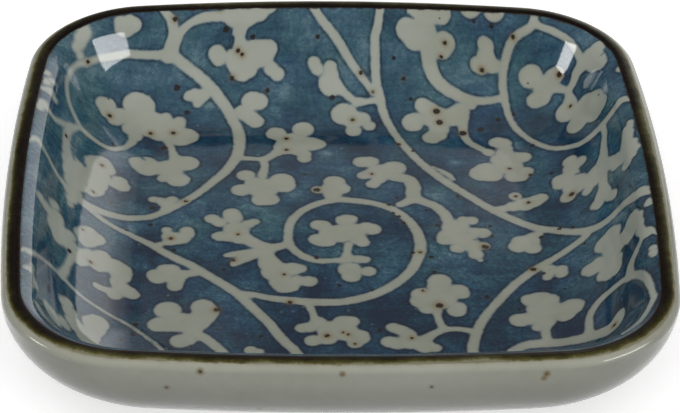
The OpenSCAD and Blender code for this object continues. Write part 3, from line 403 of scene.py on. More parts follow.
# ---------------------------------------------------------------- meshes
def make(name, points, faces, facing, numbers=None, vectors=None, uv=None):
    """A smooth mesh piece. points in mm; facing gives each point's normal for the glazed side, or zeros."""
    mesh = bpy.data.meshes.new(name)
    mesh.from_pydata((np.asarray(points) * MM).tolist(), [], faces)
    mesh.polygons.foreach_set("use_smooth", np.ones(len(mesh.polygons), bool))
    for key, values in (numbers or {}).items():
        mesh.attributes.new(key, "FLOAT", "POINT").data.foreach_set("value", np.asarray(values, np.float32))
    for key, values in (vectors or {}).items():
        mesh.attributes.new(key, "FLOAT_VECTOR", "POINT").data.foreach_set("vector", np.asarray(values, np.float32).ravel())
    loops = np.empty(len(mesh.loops), np.int32)
    mesh.loops.foreach_get("vertex_index", loops)
    if uv is not None:
        mesh.uv_layers.new(name="OFBake").data.foreach_set("uv", np.asarray(uv, np.float32)[loops].ravel())
    if facing is not None:
        flat = np.empty(len(mesh.polygons) * 3, np.float32)
        mesh.polygons.foreach_get("normal", flat)
        sizes = np.empty(len(mesh.polygons), np.int32)
        mesh.polygons.foreach_get("loop_total", sizes)
        flat = np.repeat(flat.reshape(-1, 3), sizes, 0)
        want = np.asarray(facing, np.float32)[loops]
        # a corner takes the surface's own normal where its face lies in that surface
        own = (want * flat).sum(1) > .6
        mesh.normals_split_custom_set(np.where(own[:, None], want, flat).tolist())
    mesh.update()
    ob = bpy.data.objects.new(name, mesh)
    bpy.context.scene.collection.objects.link(ob)
    return ob


def strip(a, b, flip=False):
    """Quads between two closed rings of equal count."""
    c, d = np.roll(a, -1), np.roll(b, -1)
    q = np.stack([a, b, d, c] if flip else [a, c, d, b], 1)
    return q.tolist()


def unit(v):
    return v / np.maximum(np.linalg.norm(v, axis=-1, keepdims=True), 1e-12)


def around(count):
    return np.arange(count) * 4.0 / count


def coat(name, section, under, count):
    """A closed coat: section and under are functions of a station that give (i, z, rc), for the glazed side and the back."""
    q = around(count)
    top, low = section[0], under[0]
    pts, nrm, ids, n = [], [], [], 0
    for f, stations in ((top, section[1]), (low, under[1])):
        rows = []
        for a in stations:
            def at(a, q):
                i, z, rc = f(a)
                x, y = outline(i, rc, q)
                return np.stack([x, y, np.full_like(x, z)], -1)
            p = at(a, q)
            along = at(a, q + 1e-4) - at(a, q - 1e-4)
            across = at(a + 1e-3, q) - at(a - 1e-3, q)
            nn = unit(np.cross(along, across))
            pts.append(p)
            nrm.append(nn)
            rows.append(np.arange(n, n + count))
            n += count
        ids.append(rows)
    return np.concatenate(pts), np.concatenate(nrm), ids


def shell_faces(ids, flip):
    front, back = ids
    faces = []
    for a, b in zip(front[:-1], front[1:]):
        faces += strip(a, b, flip)
    for a, b in zip(back[:-1], back[1:]):
        faces += strip(a, b, not flip)
    faces += strip(front[-1], back[-1], flip)
    faces += strip(back[0], front[0], flip)
    return faces


# the painted well: front grid in rings, thin back, closed edge
g = np.arange(-N, N + 1)
A, B = [m.ravel() for m in np.meshgrid(g, g, indexing="ij")]
J = np.maximum(np.abs(A), np.abs(B))
J1 = np.maximum(J, 1)
Q = np.where((B == J) & (A > -J), (J - A) / (2 * J1), np.where((A == -J) & (B > -J), 1 + (J - B) / (2 * J1), np.where((B == -J) & (A < J), 2 + (A + J) / (2 * J1), 3 + (B + J) / (2 * J1))))
Q = np.where(J == 0, 0, np.clip(Q, 0, 3.999999))
SIZE = J / N * REACH
front, UV = well_at(SIZE, Q)
front[J == 0] = (0, -BACK_FULL / 2, FLOOR_Z)
UV[J == 0] = 0
step = 1e-3
tq = well_at(SIZE, Q + 1e-4)[0] - well_at(SIZE, Q - 1e-4)[0]
ts = well_at(SIZE + step, Q)[0] - well_at(np.maximum(SIZE - step, 1e-4), Q)[0]
facing = unit(np.cross(ts, tq))
facing[SIZE <= FLAT - .5] = (0, 0, 1)
facing[J == 0] = (0, 0, 1)
facing[facing[:, 2] < 0] *= -1
W = 2 * N + 1
gi = np.arange(W * W).reshape(W, W)
quads = np.stack([gi[:-1, :-1], gi[1:, :-1], gi[1:, 1:], gi[:-1, 1:]], -1).reshape(-1, 4)
# at two of the corners the cut goes the other way, so that it follows the diagonal
turned = ((A[quads[:, 0]] + .5) * (B[quads[:, 0]] + .5) < 0)
quads[turned] = np.roll(quads[turned], -1, 1)
faces = quads.tolist()
ring = np.empty(8 * N, int)
edge = np.nonzero(J == N)[0]
ring[np.rint(Q[edge] * 2 * N).astype(int) % (8 * N)] = edge
count, n0 = 8 * N, len(front)


def back_ring(size, q):
    s = size - FLAT
    if s <= 0:
        i, z, rc = DISH_W / 2 - size, FLOOR_Z - COAT, RC_FLAT * size / FLAT
    else:
        i, z = float(np.interp(s, SEC_S, SEC_I)), float(np.interp(s, SEC_S, SEC_Z))
        e = 1e-3
        di = float(np.interp(s + e, SEC_S, SEC_I) - np.interp(s - e, SEC_S, SEC_I))
        dz = float(np.interp(s + e, SEC_S, SEC_Z) - np.interp(s - e, SEC_S, SEC_Z))
        m = math.hypot(di, dz)
        rc = CORNER_R - shrink(i)
        ni, nz = dz / m, -di / m            # towards the inside of the well
        i, z, rc = i - COAT * ni, z - COAT * nz, rc + COAT * ni
    x, y = outline(i, rc, q)
    return np.stack([x, y, np.full_like(x, z)], -1)


b0 = back_ring(REACH, around(count))
few = count // 4
rows, pts = [], [front, b0]
n = n0 + count
for size in (REACH - 1.5, REACH - 4, REACH - 8, REACH - 12, REACH - 16, FLAT + 2, FLAT - 2, 20, 10, 4):
    pts.append(back_ring(size, around(few)))
    rows.append(np.arange(n, n + few))
    n += few
pts.append(np.array([[0, -BACK_FULL / 2, FLOOR_Z - COAT]]))
middle = n
outer_row = np.arange(n0, n0 + count)
faces += strip(ring, outer_row, True)
for m in range(few):
    o = [outer_row[(4 * m + t) % count] for t in range(5)]
    i0, i1 = rows[0][m], rows[0][(m + 1) % few]
    faces += [[o[1], o[0], i0], [o[2], o[1], i0], [i0, i1, o[2]], [o[3], o[2], i1], [o[4], o[3], i1]]
for a, b in zip(rows[:-1], rows[1:]):
    faces += strip(a, b, True)
faces += [[int(rows[-1][(m + 1) % few]), int(rows[-1][m]), middle] for m in range(few)]
faces = [[int(k) for k in f] for f in faces]
pts = np.concatenate(pts)
extra = len(pts) - n0
motif = painting(UV)
# the wash closes along the front lip
at_front = (UV[:, 1] < -FLAT) & (UV[:, 0] < 42)
motif[at_front] = np.maximum(motif[at_front], np.minimum((SIZE[at_front] - REACH + 2) * 1.2, .8))
speck, halo = specks(UV)
wash = washes(UV)
lip = np.maximum(REACH - SIZE, 0)


def fill(values, value):
    return np.concatenate([values, np.full((extra,) + values.shape[1:], value)])


back_uv = pts[n0:, :2] / 1400 + .035
well = make(
    "painted_well", pts, faces, np.concatenate([facing, np.zeros((extra, 3))]),
    {"motif": fill(motif, 4), "speck": fill(speck, 3), "halo": fill(halo, 0), "wash": fill(wash, 0), "lip": fill(lip, 6)},
    {"laid": np.concatenate([np.concatenate([UV, np.zeros((n0, 1))], 1), pts[n0:]])},
    np.concatenate([UV / (2 * REACH + 2) + .5, back_uv]),
)

# the lip band
LIP_N = 8 * N
up = np.concatenate([np.linspace(90 - BAND_IN, 90, 9), np.linspace(90, BAND_OUT, 10)[1:]])
down = np.concatenate([np.linspace(90 - BAND_IN, 90, 4), np.linspace(90, BAND_OUT, 4)[1:]])
p, nn, ids = coat("band", (crest_at, up), (lambda a: crest_at(a, COAT), down), LIP_N)
width = np.concatenate([[0], np.cumsum(np.hypot(*np.diff(np.array([crest_at(a)[:2] for a in up]), axis=0).T))])
across = np.concatenate([np.repeat(width / width[-1], LIP_N), np.repeat(np.interp(down, up, width / width[-1]), LIP_N)])
nn[nn[:, 2] < 0] *= -1
nn[len(up) * LIP_N:] = 0
band = make("lip_band", p, shell_faces(ids, True), nn, {"across": across}, {"laid": p})

# the outer coat: shoulder of the lip, then the wall down to the foot
OUT_N = 4 * N
stations = np.concatenate([np.linspace(BAND_OUT, 180, 13), np.linspace(180, 270, 46)[1:]])


def outside(a, t=0.0):
    return lip_at(a, t) if a <= 180 else outer_at(a - 180, t)


# the short upright run between the lip and the wall is part of the same line
def outside_back(a):
    return outside(a, COAT)


p, nn, ids = coat("outer", (outside, stations), (outside_back, stations[::6]), OUT_N)
fall = np.concatenate([np.zeros(1), np.cumsum(np.hypot(*np.diff(np.array([outside(a)[:2] for a in stations]), axis=0).T))])
fall_back = np.interp(stations[::6], stations, fall)
outward = np.stack([p[:, 0], p[:, 1], np.zeros(len(p))], 1)
nn[((nn * outward).sum(1) < 0) & (nn[:, 2] < .9)] *= -1
foot_row = slice((len(stations) - 1) * OUT_N, len(stations) * OUT_N)
nn[foot_row] = (0, 0, -1)
nn[len(stations) * OUT_N:] = 0
outer = make("outer_coat", p, shell_faces(ids, True), nn, {"fall": np.concatenate([np.repeat(fall, OUT_N), np.repeat(fall_back, OUT_N)])}, {"laid": p})


# the foot: a bare clay ring with rounded edges, worn a little unevenly
def rounded(half, r, q):
    c = half - r
    corner, side = r * math.pi / 4, 2 * c
    turn = np.floor(q)
    s = (q - turn) * (2 * corner + side)
    first, last = s < corner, s > corner + side
    a = np.where(first, math.pi / 4 + s / r, math.pi / 2 + (s - corner - side) / r)
    x = np.where(first, c + r * np.cos(a), np.where(last, -c + r * np.cos(a), c - (s - corner)))
    y = np.where(first | last, c + r * np.sin(a), half)
    b = turn * math.pi / 2
    return x * np.cos(b) - y * np.sin(b), x * np.sin(b) + y * np.cos(b)


FOOT_N = 480
half, top = FOOT_W / 2, UNDER_Z + .38
profile = [(0, top), (0, 1.5), (.02, .95), (.1, .6), (.26, .3), (.5, .1), (.85, .02), (1.3, 0), (2.7, 0), (3.15, .02), (3.5, .1), (3.74, .3), (3.9, .6), (3.98, .95), (4, 1.5), (4, top)]
q = around(FOOT_N)
pts, rows, n = [], [], 0
for k, (i, z) in enumerate(profile):
    x, y = rounded(half - i, FOOT_R - i, q)
    wear = .05 * (np.sin(9 * q * math.pi / 2 + .7) + np.sin(23 * q * math.pi / 2 + 2 * k)) * (0 < z < 1.4)
    pts.append(np.stack([x, y - BACK_FULL / 2, z + np.maximum(wear, 0)], -1))
    rows.append(np.arange(n, n + FOOT_N))
    n += FOOT_N
p = np.concatenate(pts)
faces = []
for a, b in zip(rows, rows[1:] + rows[:1]):
    faces += strip(a, b, True)
foot = make("bare_foot", p, faces, None, None, {"laid": p})
edge_sharp = np.zeros(len(foot.data.edges), bool)
pairs = np.empty(len(foot.data.edges) * 2, np.int32)
foot.data.edges.foreach_get("vertices", pairs)
lvl = (pairs // FOOT_N).reshape(-1, 2)
edge_sharp[(lvl[:, 0] == lvl[:, 1]) & ((lvl[:, 0] == 0) | (lvl[:, 0] == len(profile) - 1))] = True
foot.data.attributes.new("sharp_edge", "BOOLEAN", "EDGE").data.foreach_set("value", edge_sharp)

# the glazed panel inside the foot
half = FOOT_W / 2 - FOOT_T - FOOT_GAP
r0 = FOOT_R - FOOT_T - FOOT_GAP
PAN_N = 240
q = around(PAN_N)
pts, rows, n = [], [], 0
levels = [(0, 2.36), (0, 2.12), (.06, 2.04), (.2, 2.0), (1, 2.0), (3, 2.03), (7, 2.08), (12, 2.1), (17, 2.11), (21, 2.11)]
for i, z in levels:
    h = half - i
    x, y = rounded(h, max(min(r0 - i * .45, h * .98), .3), q)
    pts.append(np.stack([x, y - BACK_FULL / 2, np.full_like(x, z)], -1))
    rows.append(np.arange(n, n + PAN_N))
    n += PAN_N
pts.append(np.array([[0, -BACK_FULL / 2, 2.11], [0, -BACK_FULL / 2, 2.36]]))
p = np.concatenate(pts)
faces = []
for a, b in zip(rows[:-1], rows[1:]):
    faces += strip(a, b, True)
faces += [[int(rows[-1][(k + 1) % PAN_N]), int(rows[-1][k]), n] for k in range(PAN_N)]
faces += [[int(rows[0][k]), int(rows[0][(k + 1) % PAN_N]), n + 1] for k in range(PAN_N)]
panel = make("base_panel", p, faces, None, None, {"laid": p})


# ---------------------------------------------------------------- materials
class Look:
    """A node material, built up from sockets."""

    def __init__(self, name):
        self.mat = bpy.data.materials.new(name)
        self.mat.use_nodes = True
        self.tree = self.mat.node_tree
        self.tree.nodes.clear()
        out = self.tree.nodes.new("ShaderNodeOutputMaterial")
        self.bsdf = self.tree.nodes.new("ShaderNodeBsdfPrincipled")
        self.tree.links.new(self.bsdf.outputs[0], out.inputs[0])

    def put(self, socket, value):
        if isinstance(value, bpy.types.NodeSocket):
            self.tree.links.new(value, socket)
        else:
            socket.default_value = value

    def set(self, name, value):
        self.put(self.bsdf.inputs[name], value)

    def read(self, name, vector=False):
        n = self.tree.nodes.new("ShaderNodeAttribute")
        n.attribute_name = name
        return n.outputs["Vector" if vector else "Fac"]

    def math(self, op, a, b=0.0, clamp=False):
        n = self.tree.nodes.new("ShaderNodeMath")
        n.operation, n.use_clamp = op, clamp
        self.put(n.inputs[0], a)
        self.put(n.inputs[1], b)
        return n.outputs[0]

    def span(self, value, a, b, c=0.0, d=1.0, smooth=True):
        n = self.tree.nodes.new("ShaderNodeMapRange")
        n.interpolation_type = "SMOOTHSTEP" if smooth else "LINEAR"
        for socket, v in zip(n.inputs[:5], (value, a, b, c, d)):
            self.put(socket, v)
        return n.outputs[0]

    def scaled(self, vector, scale, turn=0.0, shift=(0, 0, 0)):
        n = self.tree.nodes.new("ShaderNodeMapping")
        self.put(n.inputs["Vector"], vector)
        n.inputs["Scale"].default_value = scale
        n.inputs["Rotation"].default_value = (0, 0, turn)
        n.inputs["Location"].default_value = shift
        return n.outputs[0]

    def noise(self, vector, scale, detail=3.0, rough=.55, warp=0.0):
        n = self.tree.nodes.new("ShaderNodeTexNoise")
        self.put(n.inputs["Vector"], vector)
        n.inputs["Scale"].default_value = scale
        n.inputs["Detail"].default_value = detail
        n.inputs["Roughness"].default_value = rough
        n.inputs["Distortion"].default_value = warp
        return n.outputs["Fac"]

    def cells(self, vector, scale, feature="F1"):
        n = self.tree.nodes.new("ShaderNodeTexVoronoi")
        n.feature = feature
        self.put(n.inputs["Vector"], vector)
        n.inputs["Scale"].default_value = scale
        return n.outputs["Distance"], n.outputs["Color"]

    def ramp(self, value, stops):
        n = self.tree.nodes.new("ShaderNodeValToRGB")
        self.put(n.inputs[0], value)
        e = n.color_ramp.elements
        while len(e) < len(stops):
            e.new(.5)
        for item, (at, colour) in zip(e, stops):
            item.position = at
            item.color = (*colour, 1)
        return n.outputs[0]

    def mix(self, share, a, b, mode="MIX"):
        n = self.tree.nodes.new("ShaderNodeMix")
        n.data_type, n.blend_type = "RGBA", mode
        self.put(n.inputs[0], share)
        self.put(n.inputs[6], (*a, 1) if isinstance(a, tuple) else a)
        self.put(n.inputs[7], (*b, 1) if isinstance(b, tuple) else b)
        return n.outputs[2]

    def part(self, colour, channel):
        n = self.tree.nodes.new("ShaderNodeSeparateColor")
        self.put(n.inputs[0], colour)
        return n.outputs[channel]

    def bump(self, height, distance, strength=1.0):
        n = self.tree.nodes.new("ShaderNodeBump")
        n.inputs["Strength"].default_value = strength
        n.inputs["Distance"].default_value = distance
        self.put(n.inputs["Height"], height)
        self.set("Normal", n.outputs[0])


def srgb(r, g, b):
    return tuple(c / 255 / 12.92 if c <= 10 else ((c / 255 + .055) / 1.055) ** 2.4 for c in (r, g, b))


def brown(look, place, across):
    """The iron wash of the lip: black where it lies thick, olive and tan where it thins, with lighter and darker
    stretches by place around the rim and a painted reflection on the right side.
    """
    slow = look.noise(place, .045, 2)
    mid = look.noise(place, .35, 4)
    fine = look.noise(place, 2.2, 4, .65)
    t = look.math("ADD", across, look.math("MULTIPLY", look.math("SUBTRACT", slow, .5), 1.1))
    t = look.math("ADD", t, look.math("MULTIPLY", look.math("SUBTRACT", mid, .5), .85))
    t = look.math("ADD", t, look.math("MULTIPLY", look.math("SUBTRACT", fine, .5), .42))
    # by place around the rim: darker away from the front; lighter on the right side as a painted reflection of the lamp
    # there; lighter at the outer edge away from the front, on the left side and at the back
    t = look.math("ADD", t, look.span(look.part(place, 1), -46, -36, .02, -.34))
    t = look.math("ADD", t, look.span(look.part(place, 0), 30, 45, 0, .26))
    t = look.math("ADD", t, look.math("MULTIPLY", look.span(across, .72, .98, 0, .26), look.span(look.part(place, 1), -46, -38, .1, 1)))
    t = look.math("ADD", t, look.math("MULTIPLY", look.span(look.part(place, 1), 6, 30, 0, .42), look.math("MULTIPLY", look.span(look.part(place, 0), -36, -45), look.span(look.part(place, 1), 45, 38))))
    t = look.math("ADD", t, look.span(look.part(place, 1), 39, 47, 0, .26))
    return look.ramp(t, [(0, srgb(20, 11, 4)), (.23, srgb(29, 20, 8)), (.47, srgb(48, 43, 19)), (.7, srgb(76, 72, 38)), (.88, srgb(108, 103, 61)), (1, srgb(144, 141, 116))]), fine


# painted well
look = Look("painted_glaze")
laid = look.read("laid", True)
wobble = look.noise(laid, .9, 3, .5)
fringe = look.noise(laid, 3.2, 3, .6)
d = look.math("ADD", look.read("motif"), look.math("MULTIPLY", look.math("SUBTRACT", wobble, .5), .34))
d = look.math("ADD", d, look.math("MULTIPLY", look.math("SUBTRACT", fringe, .5), .16))
side, fore = look.part(laid, 0), look.part(laid, 1)
blue_share = look.span(d, look.span(side, -35, -43, -.2, -.55), look.span(side, -35, -43, .22, .5))
pool = look.noise(laid, .075, 2, .5)
cloud = look.noise(laid, .2, 3, .5, .5)
grain = look.noise(laid, 2.6, 4, .7)
brush = look.noise(look.scaled(laid, (.09, .95, 1), .06), 1, 4, .6, .5)
tone = look.math("MULTIPLY", look.math("SUBTRACT", pool, .5), 1.15)
tone = look.math("ADD", tone, look.math("MULTIPLY", look.math("SUBTRACT", cloud, .5), .98))
tone = look.math("ADD", tone, look.math("MULTIPLY", look.math("SUBTRACT", brush, .5), .4))
patch = look.noise(laid, .62, 4, .62, .4)
tone = look.math("ADD", tone, look.math("MULTIPLY", look.math("SUBTRACT", patch, .5), .62))
tone = look.math("ADD", tone, look.math("MULTIPLY", look.math("SUBTRACT", grain, .5), look.span(fore, 24, -12, .7, 1.15)))
tone = look.math("ADD", tone, look.math("MULTIPLY", look.math("SUBTRACT", look.noise(laid, 1.35, 3, .6), .5), .72))
tone = look.math("MULTIPLY", tone, look.span(fore, 6, 34, 1, .76))
tone = look.math("ADD", tone, look.math("MULTIPLY", look.read("wash"), .44))
tone = look.math("ADD", tone, look.span(look.read("lip"), 21, 9, .45, .58))
# painted light and shade in the wash: darker towards the front, where the front wall shades the floor, and more so at
# the front right; lighter on the back wall, which faces the light, and on the left wall as a painted reflection of the
# bright back; darker again along the top of the back wall
tone = look.math("ADD", tone, look.span(fore, 2, -24, 0, -.21))
tone = look.math("ADD", tone, look.span(fore, 30, 37, 0, .1))
tone = look.math("ADD", tone, look.span(fore, 44, 49, 0, -.13))
tone = look.math("ADD", tone, look.span(side, -34, -42, 0, .12))
tone = look.math("ADD", tone, look.math("MULTIPLY", look.span(fore, -4, -20), look.span(side, 4, 20, 0, -.07)))
cobalt = look.ramp(tone, [(0, srgb(11, 36, 61)), (.28, srgb(22, 58, 84)), (.5, srgb(38, 78, 106)), (.72, srgb(63, 103, 124)), (1, srgb(106, 138, 150))])
teal = look.ramp(tone, [(0, srgb(13, 39, 61)), (.28, srgb(26, 63, 83)), (.5, srgb(41, 85, 102)), (.72, srgb(66, 108, 120)), (1, srgb(108, 140, 147))])
ground = look.mix(look.span(look.noise(laid, .11, 2), .38, .64), cobalt, teal)
# the painter's line along the pale shapes
line = look.math("MULTIPLY", look.span(d, .05, .26), look.span(d, .75, .28))
line = look.math("MULTIPLY", line, look.span(look.noise(laid, .4, 3), .34, .7, .3, .8))
line = look.math("MULTIPLY", line, look.span(side, -34, -41, 1, .25))
ground = look.mix(line, ground, srgb(9, 25, 46))
# pinholes in the wash
hole, tint = look.cells(laid, .62)
fleck = look.math("MULTIPLY", look.span(hole, .2, .1), look.span(look.part(tint, 0), .8, .86))
ground = look.mix(look.math("MULTIPLY", fleck, .3), ground, srgb(128, 150, 156))
reserve = look.mix(look.span(look.noise(laid, .2, 3), .3, .7), srgb(172, 175, 158), srgb(183, 185, 170))
reserve = look.mix(look.math("MULTIPLY", look.span(grain, .45, .75), .25), reserve, srgb(160, 162, 143))
reserve = look.mix(look.math("MULTIPLY", look.span(d, -.7, -.05), .2), reserve, srgb(138, 150, 148))
# painted light and shade on the pale shapes: darker towards the front, where the front wall shades them; lighter on the
# side walls, most on the left as a painted reflection of the bright back, and on the back wall, which faces the light
reserve = look.mix(look.span(fore, 6, -26, 0, .3), reserve, srgb(140, 145, 131))
reserve = look.mix(look.math("MAXIMUM", look.math("ADD", look.span(side, 33, 43, 0, .45), look.span(side, -33, -43, 0, .8)), look.math("MULTIPLY", look.span(fore, 27, 38, 0, .5), look.span(side, 10, 22, 1, 0))), reserve, srgb(200, 206, 195))
colour = look.mix(blue_share, reserve, ground)
# iron in the clay
amber = look.math("MULTIPLY", look.read("halo"), look.span(blue_share, 0, 1, .94, .36))
colour = look.mix(amber, colour, srgb(142, 106, 28))
rough_edge = look.math("ADD", look.read("speck"), look.math("MULTIPLY", look.math("SUBTRACT", look.noise(laid, 2.8, 3), .5), .55))
colour = look.mix(look.span(rough_edge, .14, -.05, 0, .96), colour, srgb(20, 14, 6))
dot, dot_tint = look.cells(laid, .26)
tiny = look.math("MULTIPLY", look.span(dot, .07, .03), look.span(look.part(dot_tint, 1), .55, .6))
colour = look.mix(look.math("MULTIPLY", tiny, .8), colour, srgb(44, 38, 20))
# the lip's wash runs a little over its edge
run = look.math("ADD", look.read("lip"), look.math("MULTIPLY", look.math("SUBTRACT", look.noise(laid, .5, 3), .5), .9))
iron, _ = brown(look, laid, .25)
colour = look.mix(look.span(run, .35, -.05), colour, iron)
look.set("Base Color", colour)
look.set("Roughness", look.span(look.noise(laid, .5, 2), .3, .7, .05, .085, False))
look.set("IOR", 1.52)
look.bump(look.math("ADD", look.noise(laid, .12, 2), look.math("MULTIPLY", grain, .04)), .00012, .35)
painted = look.mat

# lip band
look = Look("iron_lip")
laid = look.read("laid", True)
iron, fine = brown(look, laid, look.read("across"))
look.set("Base Color", iron)
look.set("Roughness", look.span(fine, .3, .7, .07, .14, False))
look.set("Specular IOR Level", .07)
look.set("IOR", 1.5)
look.bump(look.math("ADD", look.noise(laid, .4, 2), look.math("MULTIPLY", fine, .12)), .00012, .4)
iron_lip = look.mat


# Iron specks on the front of the outer wall: place, radius, amber halo, darkness.
OUTER_SPECKS = [((-19.1, -48.06, 17.4), .34, .7, .95), ((-23.6, -47.58, 14.4), .3, .5, .7), ((-.3, -48.6, 17.4), .26, .8, .3), ((11.6, -48.31, 15.1), .26, .4, .8), ((26.9, -47.54, 16.7), .3, .9, .5), ((26.6, -47.5, 16.0), .26, .8, .1)]


def pale(name, with_lip):
    look = Look(name)
    laid = look.read("laid", True)
    slow = look.noise(laid, .06, 3)
    mid = look.noise(laid, .5, 4, .6)
    fine = look.noise(laid, 3, 4, .65)
    t = look.math("ADD", look.math("MULTIPLY", slow, .6), look.math("ADD", look.math("MULTIPLY", mid, .25), look.math("MULTIPLY", fine, .15)))
    colour = look.ramp(t, [(.25, srgb(173, 175, 160)), (.5, srgb(185, 187, 171)), (.75, srgb(196, 197, 183))])
    for size, most, far, dark, glow in ((.11, .62, .11, srgb(62, 48, 26), srgb(150, 122, 72)), (.31, .55, .07, srgb(92, 78, 52), srgb(156, 140, 104))):
        dist, tint = look.cells(laid, size)
        chosen = look.span(look.part(tint, 0), most, most + .02)
        spread_ = look.math("ADD", dist, look.math("MULTIPLY", look.math("SUBTRACT", fine, .5), .06))
        colour = look.mix(look.math("MULTIPLY", look.math("MULTIPLY", look.span(spread_, far, far * .3), chosen), .55), colour, glow)
        colour = look.mix(look.math("MULTIPLY", look.math("MULTIPLY", look.span(spread_, far * .5, far * .25), chosen), .85), colour, dark)
    for spot, far, glow, strength in (OUTER_SPECKS if with_lip else ()):
        n = look.tree.nodes.new("ShaderNodeVectorMath")
        n.operation = "DISTANCE"
        look.put(n.inputs[0], laid)
        n.inputs[1].default_value = spot
        away = look.math("ADD", n.outputs["Value"], look.math("MULTIPLY", look.math("SUBTRACT", fine, .5), .3))
        colour = look.mix(look.math("MULTIPLY", look.span(away, far * 2.6, far * .6), glow), colour, srgb(132, 106, 40))
        colour = look.mix(look.math("MULTIPLY", look.span(away, far, far * .5), strength), colour, srgb(46, 36, 14))
    if with_lip:
        run = look.math("ADD", look.read("fall"), look.math("MULTIPLY", look.math("SUBTRACT", look.noise(laid, .6, 3), .5), .5))
        iron, _ = brown(look, laid, .95)
        colour = look.mix(look.span(run, .2, -.1), colour, iron)
        colour = look.mix(look.math("MULTIPLY", look.span(run, .7, .1), .2), colour, srgb(142, 126, 84))
    look.set("Base Color", colour)
    look.set("Roughness", look.span(mid, .3, .7, .1, .2, False))
    look.set("IOR", 1.5)
    look.bump(look.math("ADD", look.noise(laid, .15, 2), look.math("MULTIPLY", fine, .05)), .0002, .35)
    return look.mat


outer_look, base_look = pale("pale_glaze", True), pale("base_glaze_look", False)

# bare clay
look = Look("bare_clay_look")
laid = look.read("laid", True)
slow, grit = look.noise(laid, .12, 3), look.noise(laid, 2.4, 5, .7)
colour = look.ramp(look.math("ADD", look.math("MULTIPLY", slow, .55), look.math("MULTIPLY", grit, .45)), [(.2, srgb(128, 108, 86)), (.5, srgb(158, 138, 112)), (.8, srgb(182, 164, 138))])
dist, tint = look.cells(laid, .8)
colour = look.mix(look.math("MULTIPLY", look.span(dist, .24, .1), look.span(look.part(tint, 0), .72, .76)), colour, srgb(70, 54, 40))
look.set("Base Color", colour)
look.set("Roughness", look.span(grit, .3, .7, .72, .92, False))
look.bump(grit, .00012, .7)
bare = look.mat

# the clay under the coats, seen only in the gap beside the foot
look = Look("stoneware_look")
n = look.tree.nodes.new("ShaderNodeTexCoord")
place = look.scaled(n.outputs["Object"], (1000, 1000, 1000))
grit = look.noise(place, 2.4, 5, .7)
look.set("Base Color", look.ramp(grit, [(.25, srgb(132, 116, 96)), (.75, srgb(172, 156, 132))]))
look.set("Roughness", look.span(grit, .3, .7, .7, .9, False))
look.bump(grit, .0001, .6)
clay = look.mat

for piece, mat, nodes, slot in (
    (well, painted, ("inner_glaze", "cobalt_painting"), "cobalt"),
    (band, iron_lip, ("rim_band",), "iron_brown"),
    (outer, outer_look, ("outer_glaze",), "pale_glaze"),
    (foot, bare, ("foot_ring",), "bare_clay"),
    (panel, base_look, ("base_glaze",), "pale_glaze"),
):
    piece.data.materials.append(mat)
    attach(piece, "root")
    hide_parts(*nodes)
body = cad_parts["clay_body"]
body.data.materials.clear()
body.data.materials.append(clay)

# ---------------------------------------------------------------- camera
EL, TURN, ROLL = math.radians(34.241), math.radians(-1.954), math.radians(1.25)
back = np.array([math.sin(TURN) * math.cos(EL), -math.cos(TURN) * math.cos(EL), math.sin(EL)])
place = np.array([.18, -10.176 - BACK_FULL / 2, 18.5]) + back * 413.4
right = unit(np.cross(-back, [0, 0, 1]))
above = np.cross(right, -back)
r2 = math.cos(ROLL) * right + math.sin(ROLL) * above
u2 = -math.sin(ROLL) * right + math.cos(ROLL) * above
cam = bpy.data.objects.new("camera", bpy.data.cameras.new("camera"))
cam.data.sensor_fit = "HORIZONTAL"
cam.data.sensor_width = 36
cam.data.lens = 2895 / 680 * 36
cam.data.clip_start = .01
cam.matrix_world = Matrix(((r2[0], u2[0], back[0], place[0] * MM), (r2[1], u2[1], back[1], place[1] * MM), (r2[2], u2[2], back[2], place[2] * MM), (0, 0, 0, 1)))
bpy.context.scene.collection.objects.link(cam)
bpy.context.scene.camera = cam

# ---------------------------------------------------------------- stage
mesh = bpy.data.meshes.new("floor")
mesh.from_pydata([(-3, -3, -2e-5), (3, -3, -2e-5), (3, 3, -2e-5), (-3, 3, -2e-5)], [], [(0, 1, 2, 3)])
floor = bpy.data.objects.new("floor", mesh)
bpy.context.scene.collection.objects.link(floor)
look = Look("floor_look")
look.set("Base Color", (.8, .8, .8, 1))
look.set("Roughness", .9)
look.set("Specular IOR Level", .0)
look.set("Emission Color", (1, 1, 1, 1))
look.set("Emission Strength", .64)
mesh.materials.append(look.mat)
floor.visible_diffuse = False


def softbox(name, at, size, radiance, aim=(0, 0, 10), sparkle=False, fill=False):
    """An area light that shines with the radiance given, aimed at a point. Millimetres. A sparkle light only adds gloss, a fill only light."""
    data = bpy.data.lights.new(name, "AREA")
    data.shape = "RECTANGLE"
    data.size, data.size_y = size[0] * MM, size[1] * MM
    data.energy = radiance * math.pi * data.size * data.size_y
    ob = bpy.data.objects.new(name, data)
    z = unit(np.array(at, float) - np.array(aim, float))
    x = np.cross([0, 0, 1], z)
    x = unit(x) if np.linalg.norm(x) > 1e-6 else np.array([1.0, 0, 0])
    y = np.cross(z, x)
    ob.matrix_world = Matrix(((x[0], y[0], z[0], at[0] * MM), (x[1], y[1], z[1], at[1] * MM), (x[2], y[2], z[2], at[2] * MM), (0, 0, 0, 1)))
    ob.visible_camera = False
    ob.visible_diffuse = not sparkle
    ob.visible_glossy = not fill
    bpy.context.scene.collection.objects.link(ob)
    return ob


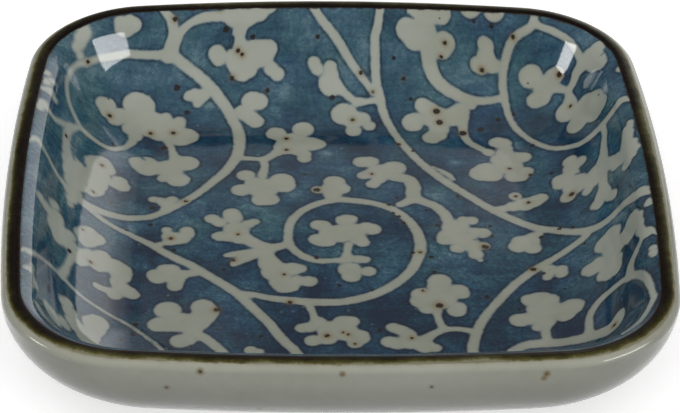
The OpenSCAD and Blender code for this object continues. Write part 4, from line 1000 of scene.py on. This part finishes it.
for k, (far, half, gloss) in enumerate(((250, 650, True), (360, 560, True), (470, 500, False), (580, 430, True))):
    softbox(f"overhead_{k}", (0, (far - 552) / 2, 620), (2 * half, far + 552), .22, (0, (far - 552) / 2, 0), sparkle=gloss)
softbox("front_top", (0, -616, 684), (700, 500), 2.95, fill=True)
softbox("front", (0, -900, 480), (1500, 500), .12)


def panel_at(name, az0, az1, el0, el1, radiance, far=1000, sparkle=True):
    """A card behind the dish that fills the given directions, in degrees from straight back and up from level."""
    x0, x1 = (far * math.tan(math.radians(a)) for a in (az0, az1))
    z0, z1 = (far * math.tan(math.radians(e)) for e in (el0, el1))
    x, z = (x0 + x1) / 2, (z0 + z1) / 2
    return softbox(name, (x, far, z), (x1 - x0, z1 - z0), radiance, (x, 0, z), sparkle)


panel_at("back_mid_0", -7, 5, 0, 34.5, .11, 1040)
panel_at("back_mid_1", -4, 5, 0, 34, .11, 1060)
for k, (az, top) in enumerate(((5, 35.3), (6, 34.5), (7.5, 32.8), (9, 31.6), (10.5, 30.5), (12, 29.5))):
    panel_at(f"back_right_{k}", az, 36, 0, top, .23, 1000 - 15 * k)
panel_at("back_left_0", -9, -1.3, 36.2, 42, .1, 1080)
panel_at("back_left_1", -9, -1.8, 36.6, 42, .1, 1100)
panel_at("back_left_2", -9, -.4, 37, 42, .08, 1120)
softbox("corner_right", (795, -423, 439), (700, 240), 9, sparkle=True)
softbox("corner_left", (-891, -125, 400), (240, 180), 11, sparkle=True)
world = bpy.data.worlds.new("studio")
world.use_nodes = True
world.node_tree.nodes["Background"].inputs[0].default_value = (1, 1, 1, 1)
n = world.node_tree.nodes.new("ShaderNodeTexCoord")
split = world.node_tree.nodes.new("ShaderNodeSeparateXYZ")
shade = world.node_tree.nodes.new("ShaderNodeMapRange")
for socket, v in zip(shade.inputs[1:5], (-.15, .15, .06, .28)):
    socket.default_value = v
world.node_tree.links.new(n.outputs["Generated"], split.inputs[0])
world.node_tree.links.new(split.outputs["Z"], shade.inputs[0])
world.node_tree.links.new(shade.outputs[0], world.node_tree.nodes["Background"].inputs[1])
bpy.context.scene.world = world
bpy.context.scene.view_settings.view_transform = "Standard"
